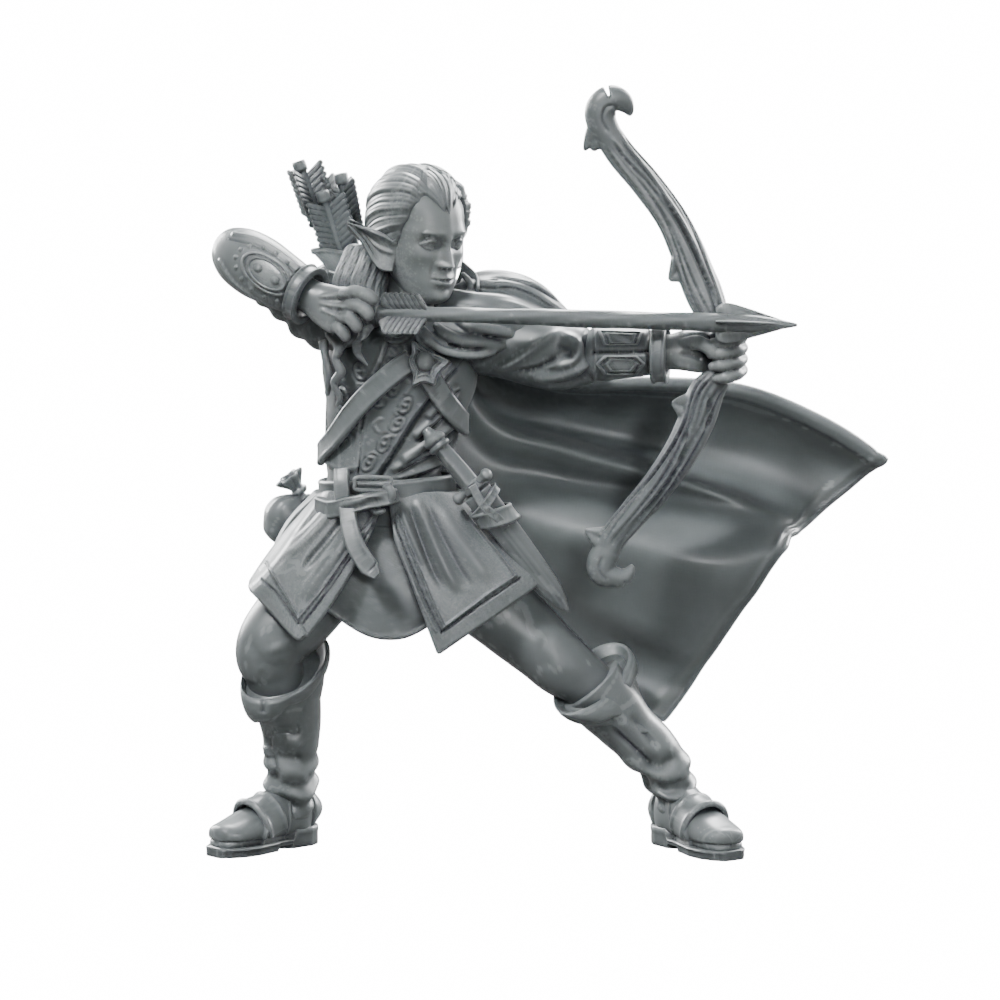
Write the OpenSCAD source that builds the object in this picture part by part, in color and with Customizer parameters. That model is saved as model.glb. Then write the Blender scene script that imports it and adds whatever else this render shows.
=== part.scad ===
// Tabletop miniature of an archer drawing a bow, cast in separate keyed pieces.
// Millimetres, +Z up, the soles stand on z = 0, and the chest faces -Y.

/* [Figure] */
// Height of the body if it stood upright: it scales the pose and the limbs
figure_h = 34.5; // [28:0.5:46]
// Width across the chest
chest_w = 6.3; // [5:0.1:7.6]
// Width across the waist
waist_w = 4.6; // [3.8:0.1:5.6]
// Width across the hips
hip_w = 5.2; // [4.3:0.1:6.3]
// Depth of the chest from front to back
chest_d = 3.8; // [3.1:0.1:4.6]
// Height of the head from chin to crown
head_h = 5.1; // [4.2:0.1:6.2]
// Width of the head
head_w = 3.5; // [2.9:0.1:4.2]
// Length of the head from brow to back
head_l = 4.3; // [3.5:0.1:5.2]

/* [Boots] */
// Length of a boot's sole
boot_l = 5.0; // [4.2:0.1:6.2]
// Width of a boot's sole at the ball of the foot
boot_w = 2.1; // [1.7:0.1:2.6]
// Thickness of a boot's sole
sole_t = 0.35; // [0.25:0.05:0.5]
// Thickness of the turned top of a boot
cuff_t = 0.3; // [0.2:0.05:0.4]

/* [Bow and arrow] */
// Diameter of the nocked arrow's shaft at the head
arrow_d = 0.72; // [0.5:0.02:0.9]
// Diameter of the nocked arrow's shaft at the nock
nock_d = 0.5; // [0.4:0.02:0.7]
// Length of the nocked arrow's shaft
arrow_l = 13.6; // [11:0.1:16]
// Length of the arrow head
arrowhead_l = 2.8; // [2:0.1:3.6]
// Width of the arrow head across its blades
arrowhead_w = 1.7; // [1.3:0.1:2.2]
// Width of a bow limb next to the grip
limb_w = 1.45; // [1.1:0.05:2]
// Thickness of a bow limb
limb_t = 0.95; // [0.7:0.05:1.2]

/* [Gear] */
// Diameter of the quiver at its mouth
quiver_d = 1.9; // [1.6:0.1:2.3]
// Diameter of an arrow shaft in the quiver
spare_d = 0.42; // [0.3:0.02:0.5]
// Width of the belt
belt_w = 0.95; // [0.7:0.05:1.2]
// Thickness of the belt and of the straps
strap_t = 0.28; // [0.2:0.02:0.4]
// Width of the shoulder strap
strap_w = 0.8; // [0.6:0.05:1]
// Width of the scabbard at its mouth
scabbard_w = 1.05; // [0.8:0.05:1.3]
// Diameter of the sword's grip
grip_d = 0.72; // [0.55:0.02:0.9]
// Diameter of the belt pouch
pouch_d = 2.1; // [1.7:0.1:2.5]

/* [Cloak] */
// Thickness of the cloak
cloak_t = 0.55; // [0.4:0.05:0.7]
// Thickness of the skirt's panels
panel_t = 0.35; // [0.25:0.05:0.45]

/* [Joints of the kit] */
// Diameter of the pins that key the pieces together
pin_d = 0.8; // [0.6:0.05:1]
// Length of a pin in a shoulder, a hip or the wrist
pin_l = 1.8; // [1.4:0.1:2.2]
// Length of the pin through the neck
neck_pin_l = 3.2; // [2.6:0.1:3.8]
// Length of the pins through the cloak
back_pin_l = 2.4; // [2:0.1:2.8]
// Gap between a pin and its socket, and between pieces that lie on each other
fit = 0.04; // [0.02:0.01:0.08]

/* [Hidden] */

k = figure_h / 34.5;          // scale of the body against its design height
sides = 16;                   // corners round a body form
fine = 48;                    // facets of true round parts when previewed
chest_turn = 12;              // the chest turns this far towards the drawing arm
head_turn = 47;               // the face turns this far towards the bow
head_pitch = 12;              // the face leans this far down
centre_shift = [-0.275, -0.145, 0];     // puts the origin under the middle of the whole figure

// ---- vectors -------------------------------------------------------------
up = [0, 0, 1];
function unit(v) = v / norm(v);
function tangent(p, i) = unit(p[min(i + 1, len(p) - 1)] - p[max(i - 1, 0)]);
function across(t, wide) = unit(wide - (wide * t) * t);
function spots(form) = [for (s = form) k * [s[0], s[1], s[2]]];
function mix(a, b, t) = a * (1 - t) + b * t;
// Cloth cut for the design body is let out or taken in with the hips or the chest.
function at_hips(p) = [-6.15 + (p[0] + 6.15) * hip_w / 5.2, -0.3 + (p[1] + 0.3) * chest_d / 3.8, p[2]];
function on_hips(grid) = [for (r = grid) [for (p = r) at_hips(p)]];
function on_chest(grid) = [for (r = grid) [for (p = r)
    [-5.6 + (p[0] + 5.6) * chest_w / 6.3, -0.3 + (p[1] + 0.3) * chest_d / 3.8, p[2]]]];

// ---- solids from rings of points ----------------------------------------
// Rings run along a form. Each ring has the same number of points.
module skin(rings) {
    n = len(rings[0]);
    m = len(rings);
    walls = [for (i = [0:m - 2], j = [0:n - 1], tri = [0, 1])
        let (a = i * n + j, b = i * n + (j + 1) % n, c = a + n, d = b + n)
        tri == 0 ? [a, d, b] : [a, c, d]];
    ends = [[for (j = [0:n - 1]) j], [for (j = [n - 1:-1:0]) (m - 1) * n + j]];
    polyhedron(points = [for (r = rings, p = r) p], faces = concat(walls, ends), convexity = 6);
}

// The same, with the last ring joined to the first, such as a belt.
module skin_loop(rings) {
    n = len(rings[0]);
    m = len(rings);
    walls = [for (i = [0:m - 1], j = [0:n - 1], tri = [0, 1])
        let (i2 = (i + 1) % m, a = i * n + j, b = i * n + (j + 1) % n, c = i2 * n + j, d = i2 * n + (j + 1) % n)
        tri == 0 ? [a, d, b] : [a, c, d]];
    polyhedron(points = [for (r = rings, p = r) p], faces = walls, convexity = 6);
}

// One oval ring about a point: a is half its width along w, and b half its depth.
function oval(c, t, w, a, b, n = sides) = let (d = cross(t, w))
    [for (j = [0:n - 1]) c + a * cos(360 * j / n) * w + b * sin(360 * j / n) * d];

// A form is a list of [x, y, z, half width, half depth] in design millimetres.
// It can be drawn larger all round by grow, to cut a seat for itself in its neighbour.
module body_form(form, wide, n = sides, grow = 0) {
    p = spots(form);
    last = len(form) - 1;
    skin([for (i = [0:last]) let (t = tangent(p, i), push = i == 0 ? -grow : i == last ? grow : 0)
        oval(p[i] + push * t, t, across(t, wide), form[i][3] * k + grow, form[i][4] * k + grow, n)]);
}

// A hollow form: the same rings, with a wall of that thickness and open ends.
module body_shell(form, wide, wall, n = sides) {
    p = spots(form);
    m = len(form);
    function pair(i, j) = let (t = tangent(p, i), w = across(t, wide), d = cross(t, w), c = cos(360 * j / n),
        s = sin(360 * j / n), a = form[i][3] * k, b = form[i][4] * k)
        [p[i] + a * c * w + b * s * d, p[i] + (a - wall) * c * w + (b - wall) * s * d];
    skin_loop([for (j = [0:n - 1]) concat(
        [for (i = [m - 1:-1:0]) pair(i, j)[0]],
        [for (i = [0:m - 1]) pair(i, j)[1]])]);
}

// A strap along points, flat against the outward directions given.
module ribbon(p, outward, width, thick) {
    skin([for (i = [0:len(p) - 1])
        let (t = tangent(p, i), s = unit(cross(t, outward[i])), o = unit(cross(s, t)))
        [p[i] - s * width / 2, p[i] - s * width / 2 + o * thick,
         p[i] + s * width / 2 + o * thick, p[i] + s * width / 2]]);
}

// A curved panel from a grid of points in design millimetres, thickened behind its face.
module panel(grid, thick) {
    rows = len(grid);
    cols = len(grid[0]);
    function g(i, j) = k * grid[i][j];
    function normal_at(i, j) = unit(cross(
        g(min(i + 1, rows - 1), j) - g(max(i - 1, 0), j),
        g(i, min(j + 1, cols - 1)) - g(i, max(j - 1, 0))));
    front = [for (i = [0:rows - 1], j = [0:cols - 1]) g(i, j)];
    back = [for (i = [0:rows - 1], j = [0:cols - 1]) g(i, j) + thick * normal_at(i, j)];
    f = rows * cols;
    faces_front = [for (i = [0:rows - 2], j = [0:cols - 2], tri = [0, 1])
        let (a = i * cols + j, b = a + 1, c = a + cols, d = c + 1) tri == 0 ? [a, d, b] : [a, c, d]];
    faces_back = [for (q = faces_front) [q[0] + f, q[2] + f, q[1] + f]];
    rim = concat([for (j = [0:cols - 1]) j], [for (i = [1:rows - 1]) i * cols + cols - 1],
        [for (j = [cols - 2:-1:0]) (rows - 1) * cols + j], [for (i = [rows - 2:-1:1]) i * cols]);
    m = len(rim);
    faces_rim = [for (q = [0:m - 1], tri = [0, 1]) let (a = rim[q], b = rim[(q + 1) % m])
        tri == 0 ? [a, b + f, a + f] : [a, b, b + f]];
    polyhedron(points = concat(front, back), faces = concat(faces_front, faces_back, faces_rim), convexity = 8);
}

// Turns +Z to a direction, at a point.
module along(at, direction) {
    d = unit(direction);
    translate(at) rotate([0, acos(d[2]), atan2(d[1], d[0])]) children();
}

// ---- torso ---------------------------------------------------------------
chest_across = [cos(chest_turn), -sin(chest_turn), 0];
chest_front = [-sin(chest_turn), -cos(chest_turn), 0];
hip_z = 13.6;
waist_z = 15.4;
chest_z = 19.2;
neck_z = 21.7;
function spine(z) = [lookup(z, [[12, -6.1], [hip_z, -6.2], [waist_z, -6.35], [chest_z, -5.75], [neck_z, -5.45]]), -0.3, z];
function torso_a(z) = lookup(z, [[12, hip_w / 2], [hip_z, hip_w / 2], [waist_z, waist_w / 2], [17.2, 0.45 * chest_w - 0.15],
    [chest_z, chest_w / 2], [20.4, 0.46 * chest_w], [21.2, 0.29 * chest_w], [neck_z, 0.19 * chest_w]]);
function torso_b(z) = lookup(z, [[12, 0.49 * chest_d], [hip_z, 0.49 * chest_d], [waist_z, 0.43 * chest_d], [17.2, 0.47 * chest_d],
    [chest_z, chest_d / 2], [20.4, 0.45 * chest_d], [21.2, 0.34 * chest_d], [neck_z, 0.26 * chest_d]]);
// A point on the torso's surface: 0 degrees is the figure's left side, and 90 its front.
function on_torso(angle, z, lift = 0) = k * spine(z)
    + (k * torso_a(z) + lift) * cos(angle) * chest_across + (k * torso_b(z) + lift) * sin(angle) * chest_front;
function off_torso(angle) = cos(angle) * chest_across + sin(angle) * chest_front;

torso_levels = [12, hip_z, waist_z, 17.2, chest_z, 20.4, 21.2, neck_z];
module torso_body(grow = 0) {
    last = len(torso_levels) - 1;
    skin([for (i = [0:last]) [for (j = [0:sides - 1])
        on_torso(-360 * j / sides, torso_levels[i], grow) + (i == 0 ? -grow : i == last ? grow : 0) * up]]);
}
module torso() color("slategray") difference() {
    torso_body();
    pin_sockets();
}

head_centre = k * [-5.0, -0.95, 24.75];
neck_form = [[-5.45, -0.4, 21.2, 1.1, 1.0], [-5.3, -0.6, 22.3, 0.95, 0.95], [-5.2, -0.75, 23.4, 0.95, 0.95]];
module neck() color("lightgray") difference() {
    body_form(neck_form, chest_across);
    torso_body(fit);
    head_body(fit);
    pin_sockets();
}

// ---- head ----------------------------------------------------------------
face_level = [sin(head_turn), -cos(head_turn), 0];
face_dir = cos(head_pitch) * face_level - sin(head_pitch) * up;
head_up = cos(head_pitch) * up + sin(head_pitch) * face_level;
head_side = cross(face_dir, head_up);
// Head levels: [share of height from the centre, forward shift, half length, half width], as shares of the head's sizes
head_levels = [[-0.49, 0.30, 0.14, 0.15], [-0.42, 0.24, 0.24, 0.28], [-0.30, 0.13, 0.36, 0.38], [-0.10, 0.04, 0.45, 0.46],
    [0.08, 0.0, 0.49, 0.49], [0.24, -0.02, 0.46, 0.47], [0.38, -0.03, 0.36, 0.38], [0.47, -0.03, 0.18, 0.2]];
function head_ring(lv, grow = 0) = let (c = head_centre + lv[0] * k * head_h * head_up + lv[1] * k * head_l * face_dir)
    [for (j = [0:sides - 1]) let (q = 360 * j / sides)
        c + (lv[2] * k * head_l + grow) * cos(q) * face_dir - (lv[3] * k * head_w + grow) * sin(q) * head_side];
nose_l = 0.45;
module head_body(grow = 0) skin([for (lv = head_levels) head_ring(lv, grow)]);
module nose() {
    // A wedge with its ridge down the middle of the face
    bridge = head_centre + k * (0.5 * head_l - 0.35) * face_dir;
    brow = bridge + k * 0.35 * head_up;
    base = bridge - k * 0.75 * head_up;
    skin([[brow - k * 0.1 * head_side, brow + k * 0.2 * face_dir, brow + k * 0.1 * head_side],
        [base - k * 0.35 * head_side, base + k * (0.35 + nose_l) * face_dir, base + k * 0.35 * head_side]]);
}
module head() color("gainsboro") difference() {
    union() {
        head_body();
        nose();
    }
    pin_sockets();
}

// Swept-back hair over the crown, and the length of it down the nape.
hair_t = 0.3;
module hair() {
    function hair_at(turn, rise) = (head_centre + (0.5 * k * head_l + fit) * (cos(turn) * cos(rise)) * face_dir
        + (0.5 * k * head_w + fit) * (sin(turn) * cos(rise)) * head_side
        + (0.5 * k * head_h + fit) * sin(rise) * head_up) / k;
    // The hair's edge clears the ears and comes down behind them.
    function low_edge(turn) = lookup(abs(turn - 180), [[0, -22], [45, -14], [60, 16], [116, 26]]);
    turns = [for (q = [290:-20:70]) q];
    color("dimgray") difference() {
        union() {
            panel([for (q = turns) [for (i = [0:5]) hair_at(q, mix(low_edge(q), 84, i / 5))]], hair_t);
            hair_fall();
        }
        head_body(fit);
        neck_grown();
        torso_body(fit);
    }
}
module neck_grown() body_form(neck_form, chest_across, grow = fit);
hair_fall_form = [[-6.35, 0.3, 24.5, 0.7, 0.6], [-6.5, 0.4, 23.6, 0.85, 0.6], [-6.75, 0.6, 22.6, 0.95, 0.5], [-6.8, 1.0, 21.7, 0.8, 0.4],
    [-6.75, 1.4, 21.0, 0.5, 0.3]];
module hair_fall(grow = 0) body_form(hair_fall_form, head_side, 12, grow);

ear_l = 1.6;
module ears() color("gainsboro") difference() {
    for (s = [-1, 1]) {
        root = head_centre + s * (0.5 * k * head_w) * head_side - k * 0.25 * head_up;
        tip = root + k * (-0.72 * ear_l * face_dir + 0.45 * ear_l * head_up + s * 0.42 * head_side);
        skin([for (q = [[-0.32, 0.3], [0, 0.52], [0.45, 0.34], [1, 0.05]])
            let (c = mix(root, tip, q[0]), t = unit(tip - root), w = across(t, head_up))
            oval(c, t, w, q[1] * k, 0.2 * k, 8)]);
    }
    head_body(fit);
}

// The cloak's bunched cloth round the shoulders, from the left front round the back to the right front
cowl_t = 0.5;
cowl_rows = [
    [[-3.9, -2.3, 20.5], [-3.7, -2.2, 21.2], [-3.9, -1.7, 21.9], [-4.2, -1.2, 22.3]],
    [[-1.3, -2.2, 20.6], [-1.6, -1.9, 21.8], [-2.4, -1.4, 22.4], [-3.3, -0.9, 22.6]],
    [[1.1, -0.6, 21.1], [-0.2, -0.5, 22.1], [-1.6, -0.3, 22.9], [-3.2, 0.0, 22.7]],
    [[0.6, 1.3, 20.3], [-0.7, 1.2, 21.6], [-2.0, 0.9, 22.6], [-3.5, 0.8, 22.6]],
    [[-3.2, 2.4, 19.9], [-3.4, 2.2, 21.1], [-3.8, 1.8, 22.0], [-4.2, 1.3, 22.3]],
    [[-6.0, 2.5, 19.9], [-5.8, 2.3, 21.0], [-5.6, 1.9, 21.8], [-5.4, 1.4, 22.1]],
    [[-8.4, 1.9, 20.1], [-7.8, 1.7, 21.1], [-7.2, 1.4, 21.7], [-6.6, 1.1, 22.0]],
    [[-8.9, 0.1, 20.7], [-8.3, 0.1, 21.4], [-7.6, 0.0, 21.8], [-6.9, -0.1, 22.0]],
    [[-7.9, -1.9, 20.2], [-7.6, -1.6, 20.9], [-7.2, -1.4, 21.4], [-6.7, -1.2, 21.7]]
];
module cowl_cloth() panel(on_chest(cowl_rows), cowl_t);
module cowl() color("lightslategray") difference() {
    cowl_cloth();
    torso_body(fit);
    quiver_outside(fit);
    neck_grown();
    hair_fall(fit);
    head_body(fit);
    pin_sockets();
}

// ---- skirt ---------------------------------------------------------------
belt_z = 14.5;
hem_z = 9.0;
hem_t = 0.25;
// The hem hangs low between the legs and rides up over each thigh.
module tunic_cloth() {
    function around(q, wide, deep, z) = let (c = cos(q), s = sin(q))
        [-6.15 + (hip_w / 2 + wide) * sign(c) * pow(abs(c), 0.8),
         -0.1 - (chest_d / 2 + deep) * sign(s) * pow(abs(s), s > 0 ? 0.4 : 0.7), z];
    skin_loop([for (q = [0:15:345]) let (o = [cos(q), -sin(q), 0], side = pow(cos(q), 2), front = q < 180 ? 1 : 0,
        top = on_torso(q, 12.9, fit), m = k * around(q, 0.35 + (cos(q) > 0 ? 1.0 : 0.75) * side, 0.05 + 0.35 * front, 12.2),
        h = k * around(q, 0.3 + 1.75 * side, 0.05 + 0.6 * front, hem_z - 0.25 + 2.9 * side))
        [top, m, h, h + hem_t * o, m + hem_t * o, top + hem_t * o]]);
}
module under_tunic() color("silver") difference() {
    tunic_cloth();
    leg_body_right(fit);
    leg_body_left(fit);
}

flap_right = [
    [[-9.3, 0.2, 13.9], [-10.5, -0.2, 12.9], [-11.5, -0.7, 11.7], [-11.9, -1.0, 11.0]],
    [[-8.9, -1.6, 13.8], [-9.9, -2.5, 12.4], [-10.8, -3.1, 10.8], [-11.1, -3.3, 10.1]],
    [[-7.7, -2.4, 13.7], [-8.4, -3.1, 12.2], [-9.3, -3.5, 10.4], [-9.75, -3.6, 9.0]],
    [[-6.6, -2.7, 13.7], [-7.1, -3.2, 12.4], [-8.0, -3.5, 10.8], [-8.8, -3.65, 9.5]]
];
flap_left = [
    [[-5.9, -2.75, 13.7], [-5.7, -3.2, 12.4], [-5.0, -3.4, 10.4], [-4.35, -3.5, 8.5]],
    [[-4.8, -2.7, 13.8], [-4.1, -3.3, 12.5], [-2.9, -3.5, 10.8], [-2.2, -3.4, 9.4]],
    [[-3.8, -2.2, 13.9], [-2.8, -2.7, 12.9], [-1.2, -2.9, 11.4], [-0.4, -2.7, 10.6]],
    [[-3.2, -1.2, 14.0], [-2.3, -1.5, 13.2], [-1.0, -1.7, 12.0], [-0.3, -1.6, 11.1]]
];
back_hem = [
    [[-3.0, 0.0, 14.0], [-1.95, 0.4, 12.7], [-1.1, 0.95, 11.4], [-0.55, 1.25, 10.4]],
    [[-3.9, 1.8, 14.0], [-3.3, 2.45, 12.5], [-2.8, 2.9, 10.8], [-2.6, 3.1, 9.6]],
    [[-6.2, 2.2, 14.0], [-6.3, 2.9, 12.4], [-6.4, 3.3, 10.6], [-6.5, 3.5, 9.3]],
    [[-8.2, 1.85, 13.9], [-8.8, 2.3, 12.5], [-9.5, 2.5, 11.0], [-9.8, 2.6, 9.9]],
    [[-9.25, 0.6, 13.9], [-10.1, 0.6, 12.8], [-11.0, 0.8, 11.5], [-11.5, 0.9, 10.7]]
];
module flap_cloth_right() panel(on_hips(flap_right), panel_t);
module flap_cloth_left() panel(on_hips(flap_left), panel_t);
module back_cloth() panel(on_hips(back_hem), panel_t);
module skirt_flap_right() color("silver") difference() {
    flap_cloth_right();
    torso_body(fit);
    tunic_cloth();
}
module skirt_flap_left() color("silver") difference() {
    flap_cloth_left();
    torso_body(fit);
}
module skirt_back() color("silver") difference() {
    back_cloth();
    torso_body(fit);
    tunic_cloth();
}

// ---- belts and straps ----------------------------------------------------
module belt() {
    lift = fit + strap_t;
    color("dimgray") skin_loop([for (q = [0:15:345]) let (z0 = belt_z - belt_w / 2, z1 = belt_z + belt_w / 2)
        [on_torso(q, z0, fit), on_torso(q, z0, lift), on_torso(q, z1, lift), on_torso(q, z1, fit)]]);
}

buckle_q = 98;
buckle_w = 1.7;
module belt_buckle() {
    at = on_torso(buckle_q, belt_z, 3 * fit + strap_t);
    color("darkgray") along(at, off_torso(buckle_q)) rotate([0, 0, 90]) difference() {
        linear_extrude(0.3) square([buckle_w, belt_w + 0.25], center = true);
        translate([0, 0, -0.1]) linear_extrude(0.6) square([buckle_w - 0.5, belt_w - 0.3], center = true);
    }
}

module belt_tail() {
    p = k * 1 * [for (s = [[-7.5, -2.6, 14.0], [-7.2, -3.3, 13.2], [-6.95, -3.6, 12.3], [-6.6, -3.75, 11.6], [-6.35, -3.7, 11.3]]) s];
    color("dimgray") ribbon(p, [for (s = p) chest_front], 0.85, strap_t);
}

baldric_low = [138, 16.6];
baldric_high = [82, 19.6];
function strap_at(t) = [mix(baldric_low[0], baldric_high[0], t), mix(baldric_low[1], baldric_high[1], t)];
module baldric_front() {
    steps = [for (t = [-0.38:0.11:0.95]) strap_at(t)];
    color("dimgray") ribbon([for (s = steps) on_torso(s[0], s[1], 3 * fit)], [for (s = steps) off_torso(s[0])], strap_w, strap_t);
}

module baldric_side() {
    steps = [for (t = [0.05:0.1:1]) [mix(62, 8, t), mix(18.8, 17.2, t)]];
    color("dimgray") ribbon([for (s = steps) on_torso(s[0], s[1], 3 * fit)], [for (s = steps) off_torso(s[0])], strap_w, strap_t);
}

brooch_w = 1.9;
brooch_q = 70;
brooch_z = 19.75;
module brooch() {
    at = on_torso(brooch_q, brooch_z, 4 * fit + strap_t);
    color("silver") along(at, off_torso(brooch_q)) rotate([0, 0, 90]) difference() {
        cylinder(d = brooch_w, h = 0.32, $fn = 5);
        translate([0, 0, 0.12]) cylinder(d = 0.5 * brooch_w, h = 1, $fn = fine);
    }
}

module brooch_stone() {
    at = on_torso(brooch_q, brooch_z, 4 * fit + strap_t);
    stone_d = 0.5 * brooch_w - 2 * fit;
    color("gray") along(at, off_torso(brooch_q)) translate([0, 0, 0.12])
        rotate_extrude($fn = fine) polygon(concat([[0, 0]],
            [for (q = [0:15:90]) [stone_d / 2 * cos(q), 0.15 + 0.3 * sin(q)]]));
}

// ---- legs and boots ------------------------------------------------------
leg_form_right = [[-7.7, 0.1, 12.8, 1.45, 1.45], [-8.7, -0.45, 11.2, 1.7, 1.65], [-9.9, -1.1, 9.7, 1.55, 1.5],
    [-10.8, -1.45, 8.5, 1.4, 1.35], [-10.75, -1.2, 7.4, 1.15, 1.12], [-10.6, -0.85, 6.3, 1.05, 1.02]];
leg_form_left = [[-4.6, 0.0, 12.8, 1.45, 1.45], [-3.3, -0.3, 11.0, 1.7, 1.65], [-1.4, -0.6, 9.4, 1.5, 1.45],
    [0.2, -0.75, 8.0, 1.3, 1.28], [1.3, -0.62, 7.1, 1.12, 1.12], [2.15, -0.45, 6.35, 1.05, 1.05]];
shaft_form_right = [[-10.6, -0.83, 6.22, 1.15, 1.12], [-10.4, -0.4, 5.0, 1.12, 1.1], [-10.2, 0.0, 3.7, 0.98, 0.95],
    [-10.1, 0.3, 2.6, 0.92, 0.92], [-10.1, 0.4, 1.5, 0.9, 0.9]];
shaft_form_left = [[2.2, -0.43, 6.3, 1.15, 1.12], [3.3, -0.15, 5.1, 1.12, 1.1], [4.4, 0.1, 3.95, 0.98, 0.95],
    [5.2, 0.35, 2.8, 0.92, 0.92], [5.45, 0.45, 1.6, 0.9, 0.9]];
cuff_form_right = [[-10.7, -1.12, 7.2, 1.65, 1.6], [-10.6, -0.88, 6.4, 1.52, 1.5], [-10.5, -0.62, 5.6, 1.5, 1.48]];
cuff_form_left = [[1.45, -0.6, 7.05, 1.65, 1.6], [2.15, -0.45, 6.35, 1.52, 1.5], [2.85, -0.28, 5.65, 1.5, 1.48]];
leg_across = [1, 0.2, 0];

module leg_body_right(grow = 0) body_form(leg_form_right, leg_across, grow = grow);
module leg_body_left(grow = 0) body_form(leg_form_left, leg_across, grow = grow);
// The body's flat lower end, which both legs butt against
module above_legs() translate([-12 * k, -4 * k, 12 * k - fit]) cube([12 * k, 8 * k, 3 * k]);
module leg_right() color("gray") difference() {
    leg_body_right();
    above_legs();
    pin_sockets();
}
module leg_left() color("gray") difference() {
    leg_body_left();
    above_legs();
    leg_body_right(fit);
    back_cloth();
    pin_sockets();
}
module boot_shaft_right() color("dimgray") difference() {
    body_form(shaft_form_right, leg_across);
    leg_body_right(fit);
    foot(heel_right, toe_dir_right);
    boot_strap(heel_right, toe_dir_right);
}
module boot_shaft_left() color("dimgray") difference() {
    body_form(shaft_form_left, leg_across);
    leg_body_left(fit);
    foot(heel_left, toe_dir_left);
    boot_strap(heel_left, toe_dir_left);
}
module boot_cuff_right() color("darkgray") body_shell(cuff_form_right, leg_across, cuff_t);
module boot_cuff_left() color("darkgray") body_shell(cuff_form_left, leg_across, cuff_t);

// A foot is laid out from its heel, along the direction that it points.
heel_right = [-9.45, 1.35];
toe_dir_right = unit([-3.75, -3.35]);
heel_left = [4.8, 1.5];
toe_dir_left = unit([2.4, -3.7]);
// Half width of the sole along its length, from 0 at the heel to 1 at the toe
function sole_half(t) = boot_w / 2 * lookup(t, [[0, 0.3], [0.04, 0.6], [0.12, 0.78], [0.3, 0.76], [0.45, 0.78],
    [0.68, 1], [0.82, 0.97], [0.93, 0.72], [1, 0.36]]);
sole_steps = [0, 0.04, 0.12, 0.3, 0.45, 0.68, 0.82, 0.93, 1];

// Foot levels: [share of length, height of the middle, half width against the sole, half height]
foot_levels = [[0.03, 0.95, 0.8, 0.45], [0.1, 1.15, 0.92, 0.8], [0.28, 1.3, 0.98, 0.95], [0.45, 1.1, 0.98, 0.78],
    [0.66, 0.85, 0.96, 0.52], [0.83, 0.7, 0.93, 0.38], [0.95, 0.6, 0.8, 0.26]];
module foot(heel, dir) {
    low = sole_t + 0.01;
    side = [-dir[1], dir[0], 0];
    h = [k * heel[0], k * heel[1], 0];
    forward = [dir[0], dir[1], 0];
    skin([for (lv = foot_levels) [for (j = [0:11]) let (q = 30 * j)
        h + lv[0] * boot_l * forward + lv[2] * sole_half(lv[0]) * cos(q) * side
        + max(low, k * lv[1] + k * lv[3] * sin(q)) * up]]);
}

module sole(heel, dir) {
    outline = concat([for (t = sole_steps) [t * boot_l, -sole_half(t)]],
        [for (i = [len(sole_steps) - 1:-1:0]) [sole_steps[i] * boot_l, sole_half(sole_steps[i])]]);
    arch = [0.3 * boot_l, 0.47 * boot_l];
    translate([k * heel[0], k * heel[1], 0]) rotate([0, 0, atan2(dir[1], dir[0])]) difference() {
        linear_extrude(sole_t) polygon(outline);
        translate([arch[0], -boot_w, -0.1]) cube([arch[1] - arch[0], 2 * boot_w, 0.5 * sole_t + 0.1]);
    }
}

// The strap follows the foot's own section from one side of the sole to the other.
module boot_strap(heel, dir) {
    at = 0.55;
    side = [-dir[1], dir[0], 0];
    forward = [dir[0], dir[1], 0];
    c = [k * heel[0], k * heel[1], 0] + at * boot_l * forward;
    half = sole_half(at) + 3 * fit;
    middle = k * lookup(at, [for (lv = foot_levels) [lv[0], lv[1]]]);
    high = k * lookup(at, [for (lv = foot_levels) [lv[0], lv[3]]]) + 3 * fit;
    steps = [for (q = [-20:20:200]) q];
    ribbon([for (q = steps) c + half * cos(q) * side + (middle + high * sin(q)) * up],
        [for (q = steps) cos(q) * side + sin(q) * up], 0.45, strap_t);
}

module boot_foot_right() color("dimgray") foot(heel_right, toe_dir_right);
module boot_foot_left() color("dimgray") foot(heel_left, toe_dir_left);
module boot_sole_right() color("black") sole(heel_right, toe_dir_right);
module boot_sole_left() color("black") sole(heel_left, toe_dir_left);
module boot_strap_right() color("gray") boot_strap(heel_right, toe_dir_right);
module boot_strap_left() color("gray") boot_strap(heel_left, toe_dir_left);

// ---- arms ----------------------------------------------------------------
// Along each arm: the sleeve, the bracer over the forearm, the cuff at the wrist, and the hand
sleeve_form_right = [[-7.3, -0.1, 20.5, 1.2, 1.2], [-9.2, 0.7, 21.6, 1.15, 1.1], [-10.8, 1.15, 22.75, 1.05, 1.0],
    [-11.8, 1.2, 23.4, 1.0, 0.95], [-12.3, 1.05, 23.7, 0.8, 0.75]];
bracer_form_right = [[-12.6, 0.7, 24.1, 0.8, 0.75], [-12.15, 0.1, 23.85, 1.15, 1.05], [-11.4, -0.6, 23.45, 1.25, 1.1],
    [-10.5, -1.2, 23.0, 1.15, 1.0], [-9.75, -1.65, 22.62, 0.95, 0.85]];
cuff_form_arm_right = [[-9.7, -1.68, 22.6, 1.02, 0.95], [-9.1, -2.02, 22.3, 0.98, 0.92]];
sleeve_form_left = [[-3.6, -0.4, 20.5, 1.25, 1.25], [-1.6, -0.9, 20.45, 1.35, 1.35], [0.2, -1.4, 20.05, 1.4, 1.35],
    [1.3, -1.75, 20.0, 1.25, 1.2], [1.9, -1.95, 20.1, 0.95, 0.95]];
bracer_form_left = [[1.96, -1.97, 20.1, 1.05, 1.0], [3.0, -2.3, 20.15, 1.0, 0.95], [4.15, -2.6, 20.2, 0.85, 0.8]];
cuff_form_arm_left = [[4.22, -2.62, 20.2, 1.0, 0.95], [4.85, -2.74, 20.2, 1.0, 0.95]];
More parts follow.
